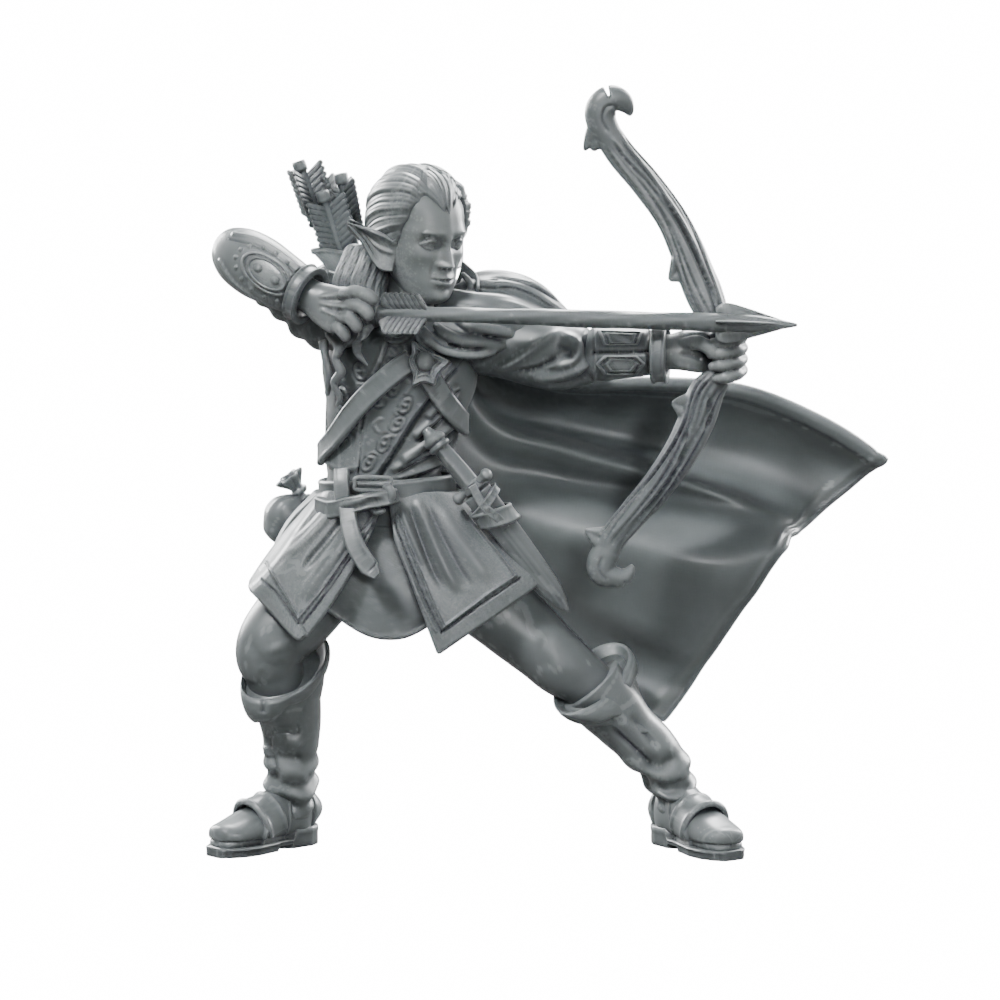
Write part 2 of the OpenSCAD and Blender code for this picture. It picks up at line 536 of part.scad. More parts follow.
palm_form_right = [[-9.7, -1.68, 22.6, 0.75, 0.68], [-9.1, -2.02, 22.3, 0.74, 0.62], [-8.6, -2.35, 22.05, 0.85, 0.5],
    [-8.1, -2.65, 21.75, 0.95, 0.42], [-7.8, -2.8, 21.6, 0.85, 0.32]];
palm_form_left = [[4.22, -2.62, 20.2, 0.75, 0.68], [4.85, -2.74, 20.2, 0.72, 0.62], [5.6, -2.7, 20.25, 0.8, 0.5],
    [6.2, -2.4, 20.25, 0.9, 0.42], [6.8, -1.95, 20.25, 0.88, 0.3]];
arm_across = [0, 0.3, 1];

module sleeve_body_right(grow = 0) body_form(sleeve_form_right, arm_across, grow = grow);
module sleeve_body_left(grow = 0) body_form(sleeve_form_left, arm_across, grow = grow);
module bracer_body_right(grow = 0) body_form(bracer_form_right, arm_across, grow = grow);
module bracer_body_left(grow = 0) body_form(bracer_form_left, arm_across, grow = grow);
module sleeve_right() color("slategray") difference() {
    sleeve_body_right();
    torso_body(fit);
    cowl_cloth();
    hair_fall(fit);
    pin_sockets();
}
module sleeve_left() color("slategray") difference() {
    sleeve_body_left();
    torso_body(fit);
    cowl_cloth();
    pin_sockets();
}
module bracer_right() color("darkgray") difference() {
    bracer_body_right();
    sleeve_body_right(fit);
}
module bracer_left() color("darkgray") difference() {
    bracer_body_left();
    sleeve_body_left(fit);
    pin_sockets();
}
arm_cuff_t = 0.2;
module bracer_cuff_right() color("gray") difference() {
    body_shell(cuff_form_arm_right, arm_across, arm_cuff_t);
    bracer_body_right(fit);
}
module bracer_cuff_left() color("gray") difference() {
    body_shell(cuff_form_arm_left, arm_across, arm_cuff_t);
    bracer_body_left(fit);
}

module bracer_plate_right() {
    out = unit([-0.35, -0.9, 0.25]);
    at = k * [-11.1, -0.8, 23.3] + 1.3 * k * out;
    long = across(out, [-2.65, 2.05, 1.3]);
    wide = cross(out, long);
    color("silver") difference() {
        skin([for (h = [-0.3, 0.12]) [for (q = [0:30:330])
            at + h * out + k * (1.15 - 0.2 * h) * cos(q) * long + k * (0.62 - 0.2 * h) * sin(q) * wide]]);
        bracer_body_right(fit);
    }
}

plate_t = 0.25;
module bracer_plates_left() color("silver") difference() {
    for (s = [-1, 1]) {
        out = unit([-0.2, -0.9, 0.5 * s]);
        p = [for (q = [[2.1, -2.0, 20.1], [3.1, -2.3, 20.15], [4.05, -2.58, 20.2]]) k * (q + [0, -0.62, 0.5 * s])];
        ribbon(p, [for (q = p) out], 0.75 * k, plate_t + 0.15);
    }
    bracer_body_left(fit);
    sleeve_body_left(fit);
}

// A finger is a chain of joints with one radius, narrower at its tip.
module finger(joints, r) {
    p = [for (j = joints) k * j];
    skin([for (i = [0:len(p) - 1]) let (t = tangent(p, i), w = across(t, [0.1, 0.9, 0.3]),
        taper = i == len(p) - 1 ? 0.6 : 1) oval(p[i], t, w, k * r * taper, k * r * taper, 8)]);
}

finger_r = 0.24;
module hand_right() {
    color("gainsboro") difference() {
        union() {
            body_form(palm_form_right, arm_across, 12);
            finger([[-8.0, -2.75, 22.1], [-7.4, -3.3, 22.12], [-6.95, -3.62, 21.75]], finger_r);
            finger([[-7.95, -2.8, 21.65], [-7.4, -3.4, 21.7], [-7.0, -3.7, 21.3]], finger_r);
            finger([[-8.05, -2.7, 21.2], [-7.6, -3.25, 21.15], [-7.2, -3.2, 20.8]], finger_r);
            finger([[-8.3, -2.6, 21.15], [-8.1, -3.0, 20.75], [-7.7, -2.95, 20.55]], finger_r);
        }
        bracer_body_right(fit);
        arrow_seat();
    }
}

module hand_left() {
    color("gainsboro") difference() {
        union() {
            body_form(palm_form_left, arm_across, 12);
            for (i = [0:3]) finger([[6.6, -2.0, 20.86 - 0.42 * i], [7.45, -2.1, 20.84 - 0.42 * i],
                [7.85, -2.9, 20.74 - 0.42 * i], [7.2, -3.7, 20.64 - 0.42 * i]], finger_r - 0.02);
            finger([[5.6, -2.95, 20.7], [6.2, -3.45, 20.9], [6.85, -3.75, 20.85]], finger_r);
        }
        bracer_body_left(fit);
        limb(bow_grip_line, fit);
        limb(upper_line, fit);
        arrow_seat();
        pin_sockets();
    }
}

// ---- bow -----------------------------------------------------------------
// Centre line of each limb from the grip to its curled tip: [x, y, z, half width, half thickness]
limb_a = limb_w / 2;
limb_b = limb_t / 2;
upper_line = [[6.75, -2.78, 21.3, limb_a, limb_b], [6.2, -2.7, 22.7, limb_a, limb_b], [5.5, -2.5, 24.5, 0.98 * limb_a, limb_b],
    [4.6, -2.3, 26.2, 0.95 * limb_a, limb_b], [3.5, -2.1, 27.5, 0.9 * limb_a, 0.9 * limb_b], [2.5, -2.0, 28.5, 0.9 * limb_a, 0.9 * limb_b],
    [2.05, -2.0, 29.4, 0.75 * limb_a, 0.9 * limb_b], [2.3, -2.0, 30.25, 0.6 * limb_a, 0.8 * limb_b], [3.0, -2.0, 30.25, 0.6 * limb_a, 0.7 * limb_b],
    [3.35, -2.0, 29.6, 0.35 * limb_a, 0.5 * limb_b]];
lower_line = [[6.9, -2.82, 19.2, 0.95 * limb_a, limb_b], [6.4, -2.7, 17.9, limb_a, limb_b], [5.65, -2.55, 16.3, limb_a, limb_b],
    [4.8, -2.4, 14.7, limb_a, limb_b], [3.75, -2.2, 13.2, 0.95 * limb_a, 0.9 * limb_b], [2.75, -2.05, 12.1, 0.9 * limb_a, 0.9 * limb_b],
    [2.25, -2.0, 11.3, 0.8 * limb_a, 0.85 * limb_b], [2.5, -2.0, 10.7, 0.6 * limb_a, 0.8 * limb_b], [3.15, -2.0, 10.8, 0.55 * limb_a, 0.7 * limb_b],
    [3.3, -2.0, 11.35, 0.35 * limb_a, 0.5 * limb_b]];
bow_grip_line = [upper_line[0], [6.92, -2.85, 20.5, 0.75 * limb_a, limb_b], [6.97, -2.85, 19.8, 0.75 * limb_a, limb_b], lower_line[0]];
module limb(line, grow = 0) {
    p = spots(line);
    last = len(line) - 1;
    skin([for (i = [0:last]) let (t = tangent(p, i), w = unit(cross([0, 1, 0], t)), push = i == 0 ? -grow : i == last ? grow : 0)
        oval(p[i] + push * t, t, w, line[i][3] + grow, line[i][4] + grow, 12)]);
}
module bow_limb_upper() color("peru") limb(upper_line);
module bow_limb_lower() color("peru") limb(lower_line);
module bow_grip() color("peru") difference() {
    limb(bow_grip_line);
    limb(upper_line, fit);
    limb(lower_line, fit);
}

// ---- nocked arrow --------------------------------------------------------
// The shaft crosses the bow just in front of the grip, with room for the blades of its head.
nock_at = k * [-6.6, -3.3, 21.8];
arrow_rest = [6.85 * k, -2.85 * k - limb_t / 2 - max(arrow_d / 2, 0.354 * arrowhead_w) - 2 * fit, 21.44 * k];
arrow_dir = unit(arrow_rest - nock_at);
module arrow_shaft() color("burlywood") along(nock_at, arrow_dir) cylinder(d1 = nock_d, d2 = arrow_d, h = arrow_l, $fn = fine);
module arrow_seat() along(nock_at - fit * arrow_dir, arrow_dir)
    cylinder(d1 = nock_d + 2 * fit, d2 = arrow_d + 2 * fit, h = arrow_l, $fn = fine);
module arrow_head() color("silver") along(nock_at + (arrow_l + 0.01) * arrow_dir, arrow_dir)
    rotate([0, 0, 45]) cylinder(d1 = arrowhead_w, d2 = 0.12, h = arrowhead_l, $fn = 4);
vane_l = 2.1;
vane_h = 0.75;
module arrow_vanes() color("gainsboro") along(nock_at + 0.35 * arrow_dir, arrow_dir)
    vanes(nock_d / 2, vane_l, vane_h);
// Three vanes stand out from a shaft of radius r.
module vanes(r, length, height) {
    for (q = [30:120:270]) rotate([0, 0, q]) rotate([90, 0, 0]) linear_extrude(0.16, center = true)
        polygon([[r + fit, 0.25], [r + height, 0], [r + height, 0.75 * length], [r + fit, length]]);
}

// ---- quiver --------------------------------------------------------------
quiver_foot = k * [-5.5, 4.15, 16.0];
quiver_mouth = k * [-8.35, 3.25, 23.5];
quiver_dir = unit(quiver_mouth - quiver_foot);
quiver_l = norm(quiver_mouth - quiver_foot);
quiver_wall = 0.2;
quiver_depth = 2.5;
collar_l = 1.2;
module quiver_outside(grow = 0) along(quiver_foot - grow * quiver_dir, quiver_dir)
    cylinder(d1 = 0.8 * quiver_d + 2 * grow, d2 = quiver_d + 2 * grow, h = quiver_l + 2 * grow, $fn = fine);
module quiver() color("sienna") difference() {
    quiver_outside();
    along(quiver_foot + (quiver_l - quiver_depth) * quiver_dir, quiver_dir)
        cylinder(d = quiver_d - 2 * quiver_wall, h = quiver_depth + 1, $fn = fine);
    pin_sockets();
}
module quiver_collar() color("sienna") along(quiver_foot + (quiver_l - collar_l) * quiver_dir, quiver_dir) difference() {
    cylinder(d = quiver_d + 0.4, h = collar_l, $fn = fine);
    translate([0, 0, -1]) cylinder(d = quiver_d + 2 * fit, h = collar_l + 2, $fn = fine);
}
// Arrows in the quiver: [where round the wall, how far they stand out, turn of the vanes]
spare_r = (quiver_d - spare_d) / 2 - quiver_wall - fit;
spare_arrows = [for (s = [[15, 4.0, 20], [130, 4.4, 70], [207, 3.2, 110], [293, 2.6, 40]])
    [spare_r * cos(s[0]), spare_r * sin(s[0]), s[1], s[2]]];
spare_vane_l = 2.0;
spare_vane_h = 0.55;
module quiver_arrows() color("burlywood") along(quiver_foot, quiver_dir) for (s = spare_arrows)
    translate([s[0], s[1], quiver_l - quiver_depth + fit]) cylinder(d = spare_d, h = s[2] + quiver_depth, $fn = fine);
module quiver_vanes() color("gainsboro") along(quiver_foot, quiver_dir) for (s = spare_arrows)
    translate([s[0], s[1], quiver_l + s[2] - spare_vane_l - 0.3]) rotate([0, 0, s[3]]) difference() {
        vanes(spare_d / 2, spare_vane_l, spare_vane_h);
        for (o = spare_arrows) rotate([0, 0, -s[3]]) translate([o[0] - s[0], o[1] - s[1], -1])
            cylinder(d = spare_d + 2 * fit, h = spare_vane_l + 2, $fn = fine);
    }

// ---- sword ---------------------------------------------------------------
guard_at = k * at_hips([-2.85, -3.05, 14.95]);
hilt_dir = unit([-1.65, 0.35, 2.0]);
hilt_l = 2.5;
scabbard_tip = k * at_hips([0.95, -2.2, 9.9]);
module sword_grip() {
    color("saddlebrown") along(guard_at + 0.2 * hilt_dir, hilt_dir) rotate_extrude($fn = fine) polygon([
        [0, 0], [grip_d / 2, 0], [grip_d / 2 + 0.03, 0.4 * hilt_l], [grip_d / 2 - 0.05, 0.78 * hilt_l], [0.85 * grip_d, 0.82 * hilt_l],
        [0.85 * grip_d, 0.9 * hilt_l], [0.2 * grip_d, 1.08 * hilt_l], [0, 1.1 * hilt_l]]);
}
module sword_guard() {
    guard_l = 1.9;
    bar = unit(cross(hilt_dir, [0.15, 1, 0.2]));
    color("silver") along(guard_at - guard_l / 2 * bar, bar) rotate_extrude($fn = fine) polygon([
        [0, 0], [0.2, 0.03], [0.3, 0.18], [0.2, 0.35], [0.18, 0.75], [0.2, guard_l - 0.75], [0.2, guard_l - 0.35],
        [0.3, guard_l - 0.18], [0.2, guard_l - 0.03], [0, guard_l]]);
}
module scabbard() {
    mouth = guard_at - 0.3 * hilt_dir;
    t = unit(scabbard_tip - mouth);
    w = across(t, [1, 0, 0.8]);
    color("sienna") skin([for (q = [[0, 1], [0.5, 0.85], [0.85, 0.7], [0.97, 0.35], [1, 0.1]])
        oval(mix(mouth, scabbard_tip, q[0]), t, w, scabbard_w / 2 * q[1], 0.3 * q[1], 12)]);
}
module scabbard_frog() {
    mouth = guard_at - 0.3 * hilt_dir;
    t = unit(scabbard_tip - mouth);
    w = across(t, [1, 0, 0.8]);
    d = cross(t, w);
    color("dimgray") skin_loop([for (q = [0:20:340]) [for (e = [[0.5, 0.03], [1.15, 0.03], [1.15, 0.25], [0.5, 0.25]])
        mouth + e[0] * t + (scabbard_w / 2 + e[1]) * cos(q) * w + (0.3 + e[1]) * sin(q) * d]]);
}

// ---- pouch ---------------------------------------------------------------
pouch_at = k * at_hips([-10.3, 2.15, 13.05]);
module pouch() {
    r = pouch_d / 2;
    color("sienna") translate(pouch_at) rotate([0, -20, 0]) rotate_extrude($fn = fine) polygon([
        [0, -r], [0.6 * r, -0.85 * r], [0.95 * r, -0.35 * r], [r, 0.1 * r], [0.85 * r, 0.6 * r], [0.4 * r, 1.0 * r], [0.22 * r, 1.2 * r],
        [0, 1.2 * r]]);
}
module pouch_neck() {
    r = pouch_d / 2;
    color("sienna") translate(pouch_at) rotate([0, -20, 0]) translate([0, 0, 1.2 * r + 0.01]) rotate_extrude($fn = fine)
        polygon([[0, 0], [0.25 * r, 0], [0.32 * r, 0.12 * r], [0.25 * r, 0.25 * r], [0.75 * r, 0.85 * r], [0.55 * r, 0.9 * r], [0, 0.45 * r]]);
}

// ---- cloak ---------------------------------------------------------------
// Rays of the cloak from the shoulders to its flying hem. The first is the top edge.
cloak_rays = [
    [[-3.1, 1.3, 21.0], [-1.6, 1.9, 19.3], [1.0, 2.0, 18.5], [4.5, 2.1, 18.5], [8.0, 2.4, 18.2], [11.2, 2.7, 17.0], [13.9, 3.0, 15.4]],
    [[-3.6, 1.9, 20.8], [-1.8, 2.9, 18.4], [1.0, 3.6, 17.6], [4.5, 4.0, 17.1], [8.0, 4.0, 16.4], [11.0, 3.9, 15.2], [12.4, 3.8, 14.2]],
    [[-4.2, 2.2, 20.6], [-2.1, 2.8, 17.4], [0.6, 2.9, 16.5], [3.9, 2.6, 15.6], [7.0, 2.4, 14.7], [9.6, 2.9, 13.4], [10.9, 3.4, 12.6]],
    [[-4.9, 2.3, 20.5], [-2.6, 2.3, 16.2], [0.2, 1.9, 15.2], [3.6, 1.5, 14.5], [6.7, 1.2, 13.9], [9.0, 1.4, 13.3], [10.0, 2.0, 12.9]],
    [[-5.5, 2.35, 20.4], [-3.3, 1.9, 14.6], [-0.4, 1.3, 13.2], [2.8, 0.6, 12.3], [5.6, 0.2, 11.7], [7.9, 0.4, 11.4], [9.3, 1.0, 11.6]],
    [[-6.1, 2.35, 20.4], [-4.3, 2.3, 13.6], [-1.6, 2.0, 11.6], [1.4, 1.6, 10.1], [4.2, 1.2, 9.0], [6.2, 1.2, 8.5], [7.3, 1.5, 8.4]],
    [[-7.0, 2.2, 20.4], [-6.0, 2.7, 13.0], [-2.8, 3.0, 10.6], [0.0, 3.1, 8.8], [2.8, 2.9, 7.4], [4.8, 2.6, 6.6], [5.9, 2.4, 6.3]],
    [[-8.4, 1.6, 20.3], [-8.3, 2.5, 14.0], [-5.0, 3.0, 10.7], [-1.8, 2.9, 8.4], [1.2, 2.6, 6.7], [3.4, 2.2, 5.6], [4.9, 2.0, 5.0]]
];
function turned(grid) = [for (r = grid) [for (j = [len(r) - 1:-1:0]) r[j]]];
module cloak() color("slategray") difference() {
    panel(turned(cloak_rays), cloak_t);
    quiver_outside(fit);
    cowl_cloth();
    back_cloth();
    pin_sockets();
}

// ---- pins that key the pieces --------------------------------------------
// Each pin: [its middle, its direction, its length]. Pieces on both sides of a seam share the socket.
kit_pin_list = [
    [k * [-5.3, -0.65, 22.3], [0.1, -0.2, 2], neck_pin_l],
    [k * [-8.1, 0.2, 20.95], [-1, 0.35, 0.6], pin_l],
    [k * [-3.0, -0.55, 20.5], [1, -0.25, 0], pin_l],
    [k * [-7.62, -0.08, 12.1], [0.18, 0.06, 1], pin_l],
    [k * [-4.45, 0.0, 12.1], [-0.3, 0.05, 1], pin_l],
    [k * [4.2, -2.62, 20.2], [1, -0.25, 0.05], pin_l],
    [k * [-5.4, 2.2, 19.2], [0, 1, 0], back_pin_l],
    [k * [-6.6, 2.75, 18.0], [0, 1, 0.1], back_pin_l]
];
module pin_sockets() for (q = kit_pin_list) along(q[0] - (q[2] / 2 + fit) * unit(q[1]), q[1])
    cylinder(d = pin_d + 2 * fit, h = q[2] + 2 * fit, $fn = fine);
module kit_pins() color("goldenrod") for (q = kit_pin_list) along(q[0] - q[2] / 2 * unit(q[1]), q[1])
    cylinder(d = pin_d, h = q[2], $fn = fine);

// ---- which piece to draw -------------------------------------------------
module piece(name) translate(centre_shift) children();

piece("torso") torso();
piece("neck") neck();
piece("cowl") cowl();
piece("head") head();
piece("hair") hair();
piece("ears") ears();
piece("under_tunic") under_tunic();
piece("skirt_flap_right") skirt_flap_right();
piece("skirt_flap_left") skirt_flap_left();
piece("skirt_back") skirt_back();
piece("belt") belt();
piece("belt_buckle") belt_buckle();
piece("belt_tail") belt_tail();
piece("baldric_front") baldric_front();
piece("baldric_side") baldric_side();
piece("brooch") brooch();
piece("brooch_stone") brooch_stone();
piece("leg_right") leg_right();
piece("leg_left") leg_left();
piece("boot_shaft_right") boot_shaft_right();
piece("boot_shaft_left") boot_shaft_left();
piece("boot_cuff_right") boot_cuff_right();
piece("boot_cuff_left") boot_cuff_left();
piece("boot_foot_right") boot_foot_right();
piece("boot_foot_left") boot_foot_left();
piece("boot_strap_right") boot_strap_right();
piece("boot_strap_left") boot_strap_left();
piece("boot_sole_right") boot_sole_right();
piece("boot_sole_left") boot_sole_left();
piece("sleeve_right") sleeve_right();
piece("bracer_right") bracer_right();
piece("bracer_plate_right") bracer_plate_right();
piece("bracer_cuff_right") bracer_cuff_right();
piece("hand_right") hand_right();
piece("sleeve_left") sleeve_left();
piece("bracer_left") bracer_left();
piece("bracer_plates_left") bracer_plates_left();
piece("bracer_cuff_left") bracer_cuff_left();
piece("hand_left") hand_left();
piece("bow_limb_upper") bow_limb_upper();
piece("bow_grip") bow_grip();
piece("bow_limb_lower") bow_limb_lower();
piece("arrow_shaft") arrow_shaft();
piece("arrow_head") arrow_head();
piece("arrow_vanes") arrow_vanes();
piece("quiver") quiver();
piece("quiver_collar") quiver_collar();
piece("quiver_arrows") quiver_arrows();
piece("quiver_vanes") quiver_vanes();
piece("sword_grip") sword_grip();
piece("sword_guard") sword_guard();
piece("scabbard") scabbard();
piece("scabbard_frog") scabbard_frog();
piece("pouch") pouch();
piece("pouch_neck") pouch_neck();
piece("cloak") cloak();
piece("kit_pins") kit_pins();
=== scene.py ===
import math

import bpy
import numpy as np
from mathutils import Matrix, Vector


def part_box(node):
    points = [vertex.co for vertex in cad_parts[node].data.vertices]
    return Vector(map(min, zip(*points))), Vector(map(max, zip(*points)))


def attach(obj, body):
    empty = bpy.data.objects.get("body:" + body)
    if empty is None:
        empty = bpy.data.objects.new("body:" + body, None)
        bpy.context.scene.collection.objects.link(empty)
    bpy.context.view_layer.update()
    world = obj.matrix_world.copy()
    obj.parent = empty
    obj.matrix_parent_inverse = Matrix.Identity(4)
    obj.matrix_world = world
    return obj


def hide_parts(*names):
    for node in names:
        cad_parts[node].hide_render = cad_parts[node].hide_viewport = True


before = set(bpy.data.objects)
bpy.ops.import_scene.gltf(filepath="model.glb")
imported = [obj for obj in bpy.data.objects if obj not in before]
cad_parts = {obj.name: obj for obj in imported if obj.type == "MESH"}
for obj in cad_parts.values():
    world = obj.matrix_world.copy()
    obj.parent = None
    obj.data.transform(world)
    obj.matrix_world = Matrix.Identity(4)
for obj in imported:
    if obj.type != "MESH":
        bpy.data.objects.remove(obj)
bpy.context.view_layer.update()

# The figure is sculpted in millimetres, as it was drawn, and set on the frame at the end.
# The left sole's middle says how far the drawing is from the frame.
figure = {
    "mm": 0.001,
    "soleMiddle": (6.1725, -0.6127),
    "chestTurn": 12.0,
    "headTurn": 37.0,
    "headPitch": 12.0,
}
soleLow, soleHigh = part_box("boot_sole_left")
shift = np.array([
    (soleLow.x + soleHigh.x) / 2 / figure["mm"] - figure["soleMiddle"][0],
    (soleLow.y + soleHigh.y) / 2 / figure["mm"] - figure["soleMiddle"][1],
    0.0,
])


# camera

look = {"at": (-0.002035, -0.000145, 0.014102), "far": 0.16, "rise": 6.0, "lens": 144.0}
lens = bpy.data.cameras.new("lens")
lens.lens = look["lens"]
lens.sensor_width = 36.0
lens.clip_start = 0.01
lens.clip_end = 5.0
camera = bpy.data.objects.new("camera", lens)
bpy.context.scene.collection.objects.link(camera)
tilt = math.radians(look["rise"])
aim = Vector(look["at"])
camera.location = aim + look["far"] * Vector((0, -math.cos(tilt), math.sin(tilt)))
camera.rotation_euler = (aim - camera.location).to_track_quat("-Z", "Y").to_euler()
bpy.context.scene.camera = camera


# numbers and lines

def unit(v):
    v = np.asarray(v, float)
    return v / np.maximum(np.linalg.norm(v, axis=-1, keepdims=True), 1e-12)


def ease(x):
    x = np.clip(x, 0, 1)
    return x * x * (3 - 2 * x)


def bump(d, wide):
    return np.exp(-(d / wide) ** 2)


def smoothLine(points, count, closed=False):
    p = np.asarray(points, float)
    if closed:
        ext = np.vstack([p[-1], p, p[0], p[1]])
    else:
        ext = np.vstack([2 * p[0] - p[1], p, 2 * p[-1] - p[-2]])
    t = np.linspace(0, 1, 16, endpoint=False)[:, None]
    a, b, c, d = ext[:-3], ext[1:-2], ext[2:-1], ext[3:]
    parts = [0.5 * (2 * b[i] + (c[i] - a[i]) * t + (2 * a[i] - 5 * b[i] + 4 * c[i] - d[i]) * t ** 2
                    + (3 * b[i] - a[i] - 3 * c[i] + d[i]) * t ** 3) for i in range(len(b))]
    fine = np.vstack(parts + [ext[-2][None]])
    run = np.r_[0, np.cumsum(np.linalg.norm(np.diff(fine[:, :3], axis=0), axis=1))]
    where = np.linspace(0, run[-1], count + 1 if closed else count)
    where = where[:-1] if closed else where
    return np.column_stack([np.interp(where, run, fine[:, k]) for k in range(fine.shape[1])])


def smoothGrid(rows, nu, nv):
    along = np.array([smoothLine(r, nv) for r in rows])
    return np.stack([smoothLine(along[:, j], nu) for j in range(nv)], axis=1)


def ripples(p, size, seed, count=9):
    rng = np.random.default_rng(seed)
    total = np.zeros(len(p))
    for _ in range(count):
        k = unit(rng.normal(size=3)) * 2 * math.pi / size * rng.uniform(0.6, 1.5)
        total += np.sin(p @ k + rng.uniform(0, 2 * math.pi))
    return total / math.sqrt(count)


# a sculpted form: its points, faces, and how far each point is to be pushed out

class Sculpt:
    def __init__(self, points, quads, tris=None):
        self.points = np.asarray(points, float)
        self.quads = np.asarray(quads, int).reshape(-1, 4)
        self.tris = np.zeros((0, 3), int) if tris is None else np.asarray(tris, int).reshape(-1, 3)
        f = self.triangles()
        a, b, c = (self.points[f[:, k]] for k in range(3))
        if np.einsum("ij,ij->", a, np.cross(b, c)) < 0:
            self.quads = self.quads[:, ::-1]
            self.tris = self.tris[:, ::-1]
        self.start()

    def triangles(self):
        q = self.quads
        return np.vstack([q[:, [0, 1, 2]], q[:, [0, 2, 3]], self.tris])

    def start(self):
        f = self.triangles()
        a, b, c = (self.points[f[:, k]] for k in range(3))
        face = np.cross(b - a, c - a)
        n = len(self.points)
        self.normals = unit(np.column_stack([sum(np.bincount(f[:, k], face[:, axis], n) for k in range(3))
                                             for axis in range(3)]))
        self.rise = np.zeros(n)

    def settle(self):
        self.points = self.points + self.rise[:, None] * self.normals
        self.start()
        return self

    # distance, share along, and signed side of the points within reach of a line
    def near(self, line, far):
        line = np.asarray(line, float)
        flat = line.shape[1] == 2
        p = self.points[:, [0, 2]] if flat else self.points
        inside = np.all((p > line.min(0) - far) & (p < line.max(0) + far), axis=1)
        idx = np.nonzero(inside)[0]
        p = p[idx]
        best = np.full(len(p), 1e9)
        share = np.zeros(len(p))
        side = np.zeros(len(p))
        run = 0.0
        for a, b in zip(line[:-1], line[1:]):
            ab = b - a
            t = np.clip((p - a) @ ab / max(ab @ ab, 1e-12), 0, 1)
            off = p - a - t[:, None] * ab
            d = np.linalg.norm(off, axis=1)
            m = d < best
            best[m] = d[m]
            share[m] = run + t[m] * np.linalg.norm(ab)
            if flat:
                side[m] = np.sign(ab[0] * off[m, 1] - ab[1] * off[m, 0])
            run += np.linalg.norm(ab)
        return idx, best, share / max(run, 1e-9), side

    def front(self, idx, flat):
        return np.clip(-2.2 * self.normals[idx, 1], 0, 1) if flat else 1.0

    # a ridge, or a groove if high is negative; two numbers a point are drawn from the front
    def stroke(self, line, wide, high, ends=0.15, closed=False):
        path = smoothLine(line, 10 * len(line), closed)
        path = np.vstack([path, path[:1]]) if closed else path
        idx, d, s, side = self.near(path, 3 * wide)
        fade = 1.0 if closed or ends == 0 else ease(s / ends) * ease((1 - s) / ends)
        self.rise[idx] += high * bump(d, wide) * fade * self.front(idx, path.shape[1] == 2)
        return self

    # cloth that laps over on the left of the line, and dies away within reach
    def lap(self, line, high, soft=0.04, reach=0.6, ends=0.1):
        path = smoothLine(line, 10 * len(line))
        idx, d, s, side = self.near(path, 4 * reach)
        q = side * d
        w = 1 / (1 + np.exp(-np.clip(q / soft, -30, 30))) * np.exp(-np.maximum(q, 0) / reach)
        fade = ease(s / ends) * ease((1 - s) / ends) if ends else 1.0
        self.rise[idx] += high * w * fade * self.front(idx, True)
        return self

    def bead(self, at, r, high):
        at = np.asarray(at, float)
        p = self.points[:, [0, 2]] if len(at) == 2 else self.points
        d = np.linalg.norm(p - at, axis=1)
        idx = np.nonzero(d < r)[0]
        self.rise[idx] += high * np.sqrt(1 - (d[idx] / r) ** 2) * self.front(idx, len(at) == 2)
        return self

    def strokes(self, marks, ends=0.2, widen=1.0, heighten=1.0):
        for line, wide, high in marks:
            self.stroke(line, widen * wide, heighten * high, ends)
        return self

    def roughen(self, size, high, seed):
        self.rise += high * ripples(self.points, size, seed)
        return self


def joined(parts):
    points, quads, tris, base = [], [], [], 0
    for s in parts:
        points.append(s.points)
        quads.append(s.quads + base)
        tris.append(s.tris + base)
        base += len(s.points)
    return Sculpt(np.vstack(points), np.vstack(quads), np.vstack(tris))


def gridFaces(n, m, wrap):
    i, j = np.meshgrid(np.arange(n - 1), np.arange(m if wrap else m - 1), indexing="ij")
    a = (i * m + j).ravel()
    b = (i * m + (j + 1) % m).ravel()
    return np.column_stack([a, b, b + m, a + m])


def turns(count):
    return np.linspace(0, 2 * math.pi, count, endpoint=False)


# Closes a tube of rings with a point in the middle of each end.
def closedTube(grid, firstMiddle=None, lastMiddle=None):
    n, m = grid.shape[:2]
    firstMiddle = grid[:1].mean(1) if firstMiddle is None else firstMiddle
    lastMiddle = grid[-1:].mean(1) if lastMiddle is None else lastMiddle
    j = np.arange(m)
    first = np.column_stack([(j + 1) % m, j, np.full(m, n * m)])
    last = np.column_stack([(n - 1) * m + j, (n - 1) * m + (j + 1) % m, np.full(m, n * m + 1)])
    points = np.vstack([grid.reshape(-1, 3), firstMiddle, lastMiddle])
    return Sculpt(points, gridFaces(n, m, True), np.vstack([first, last]))


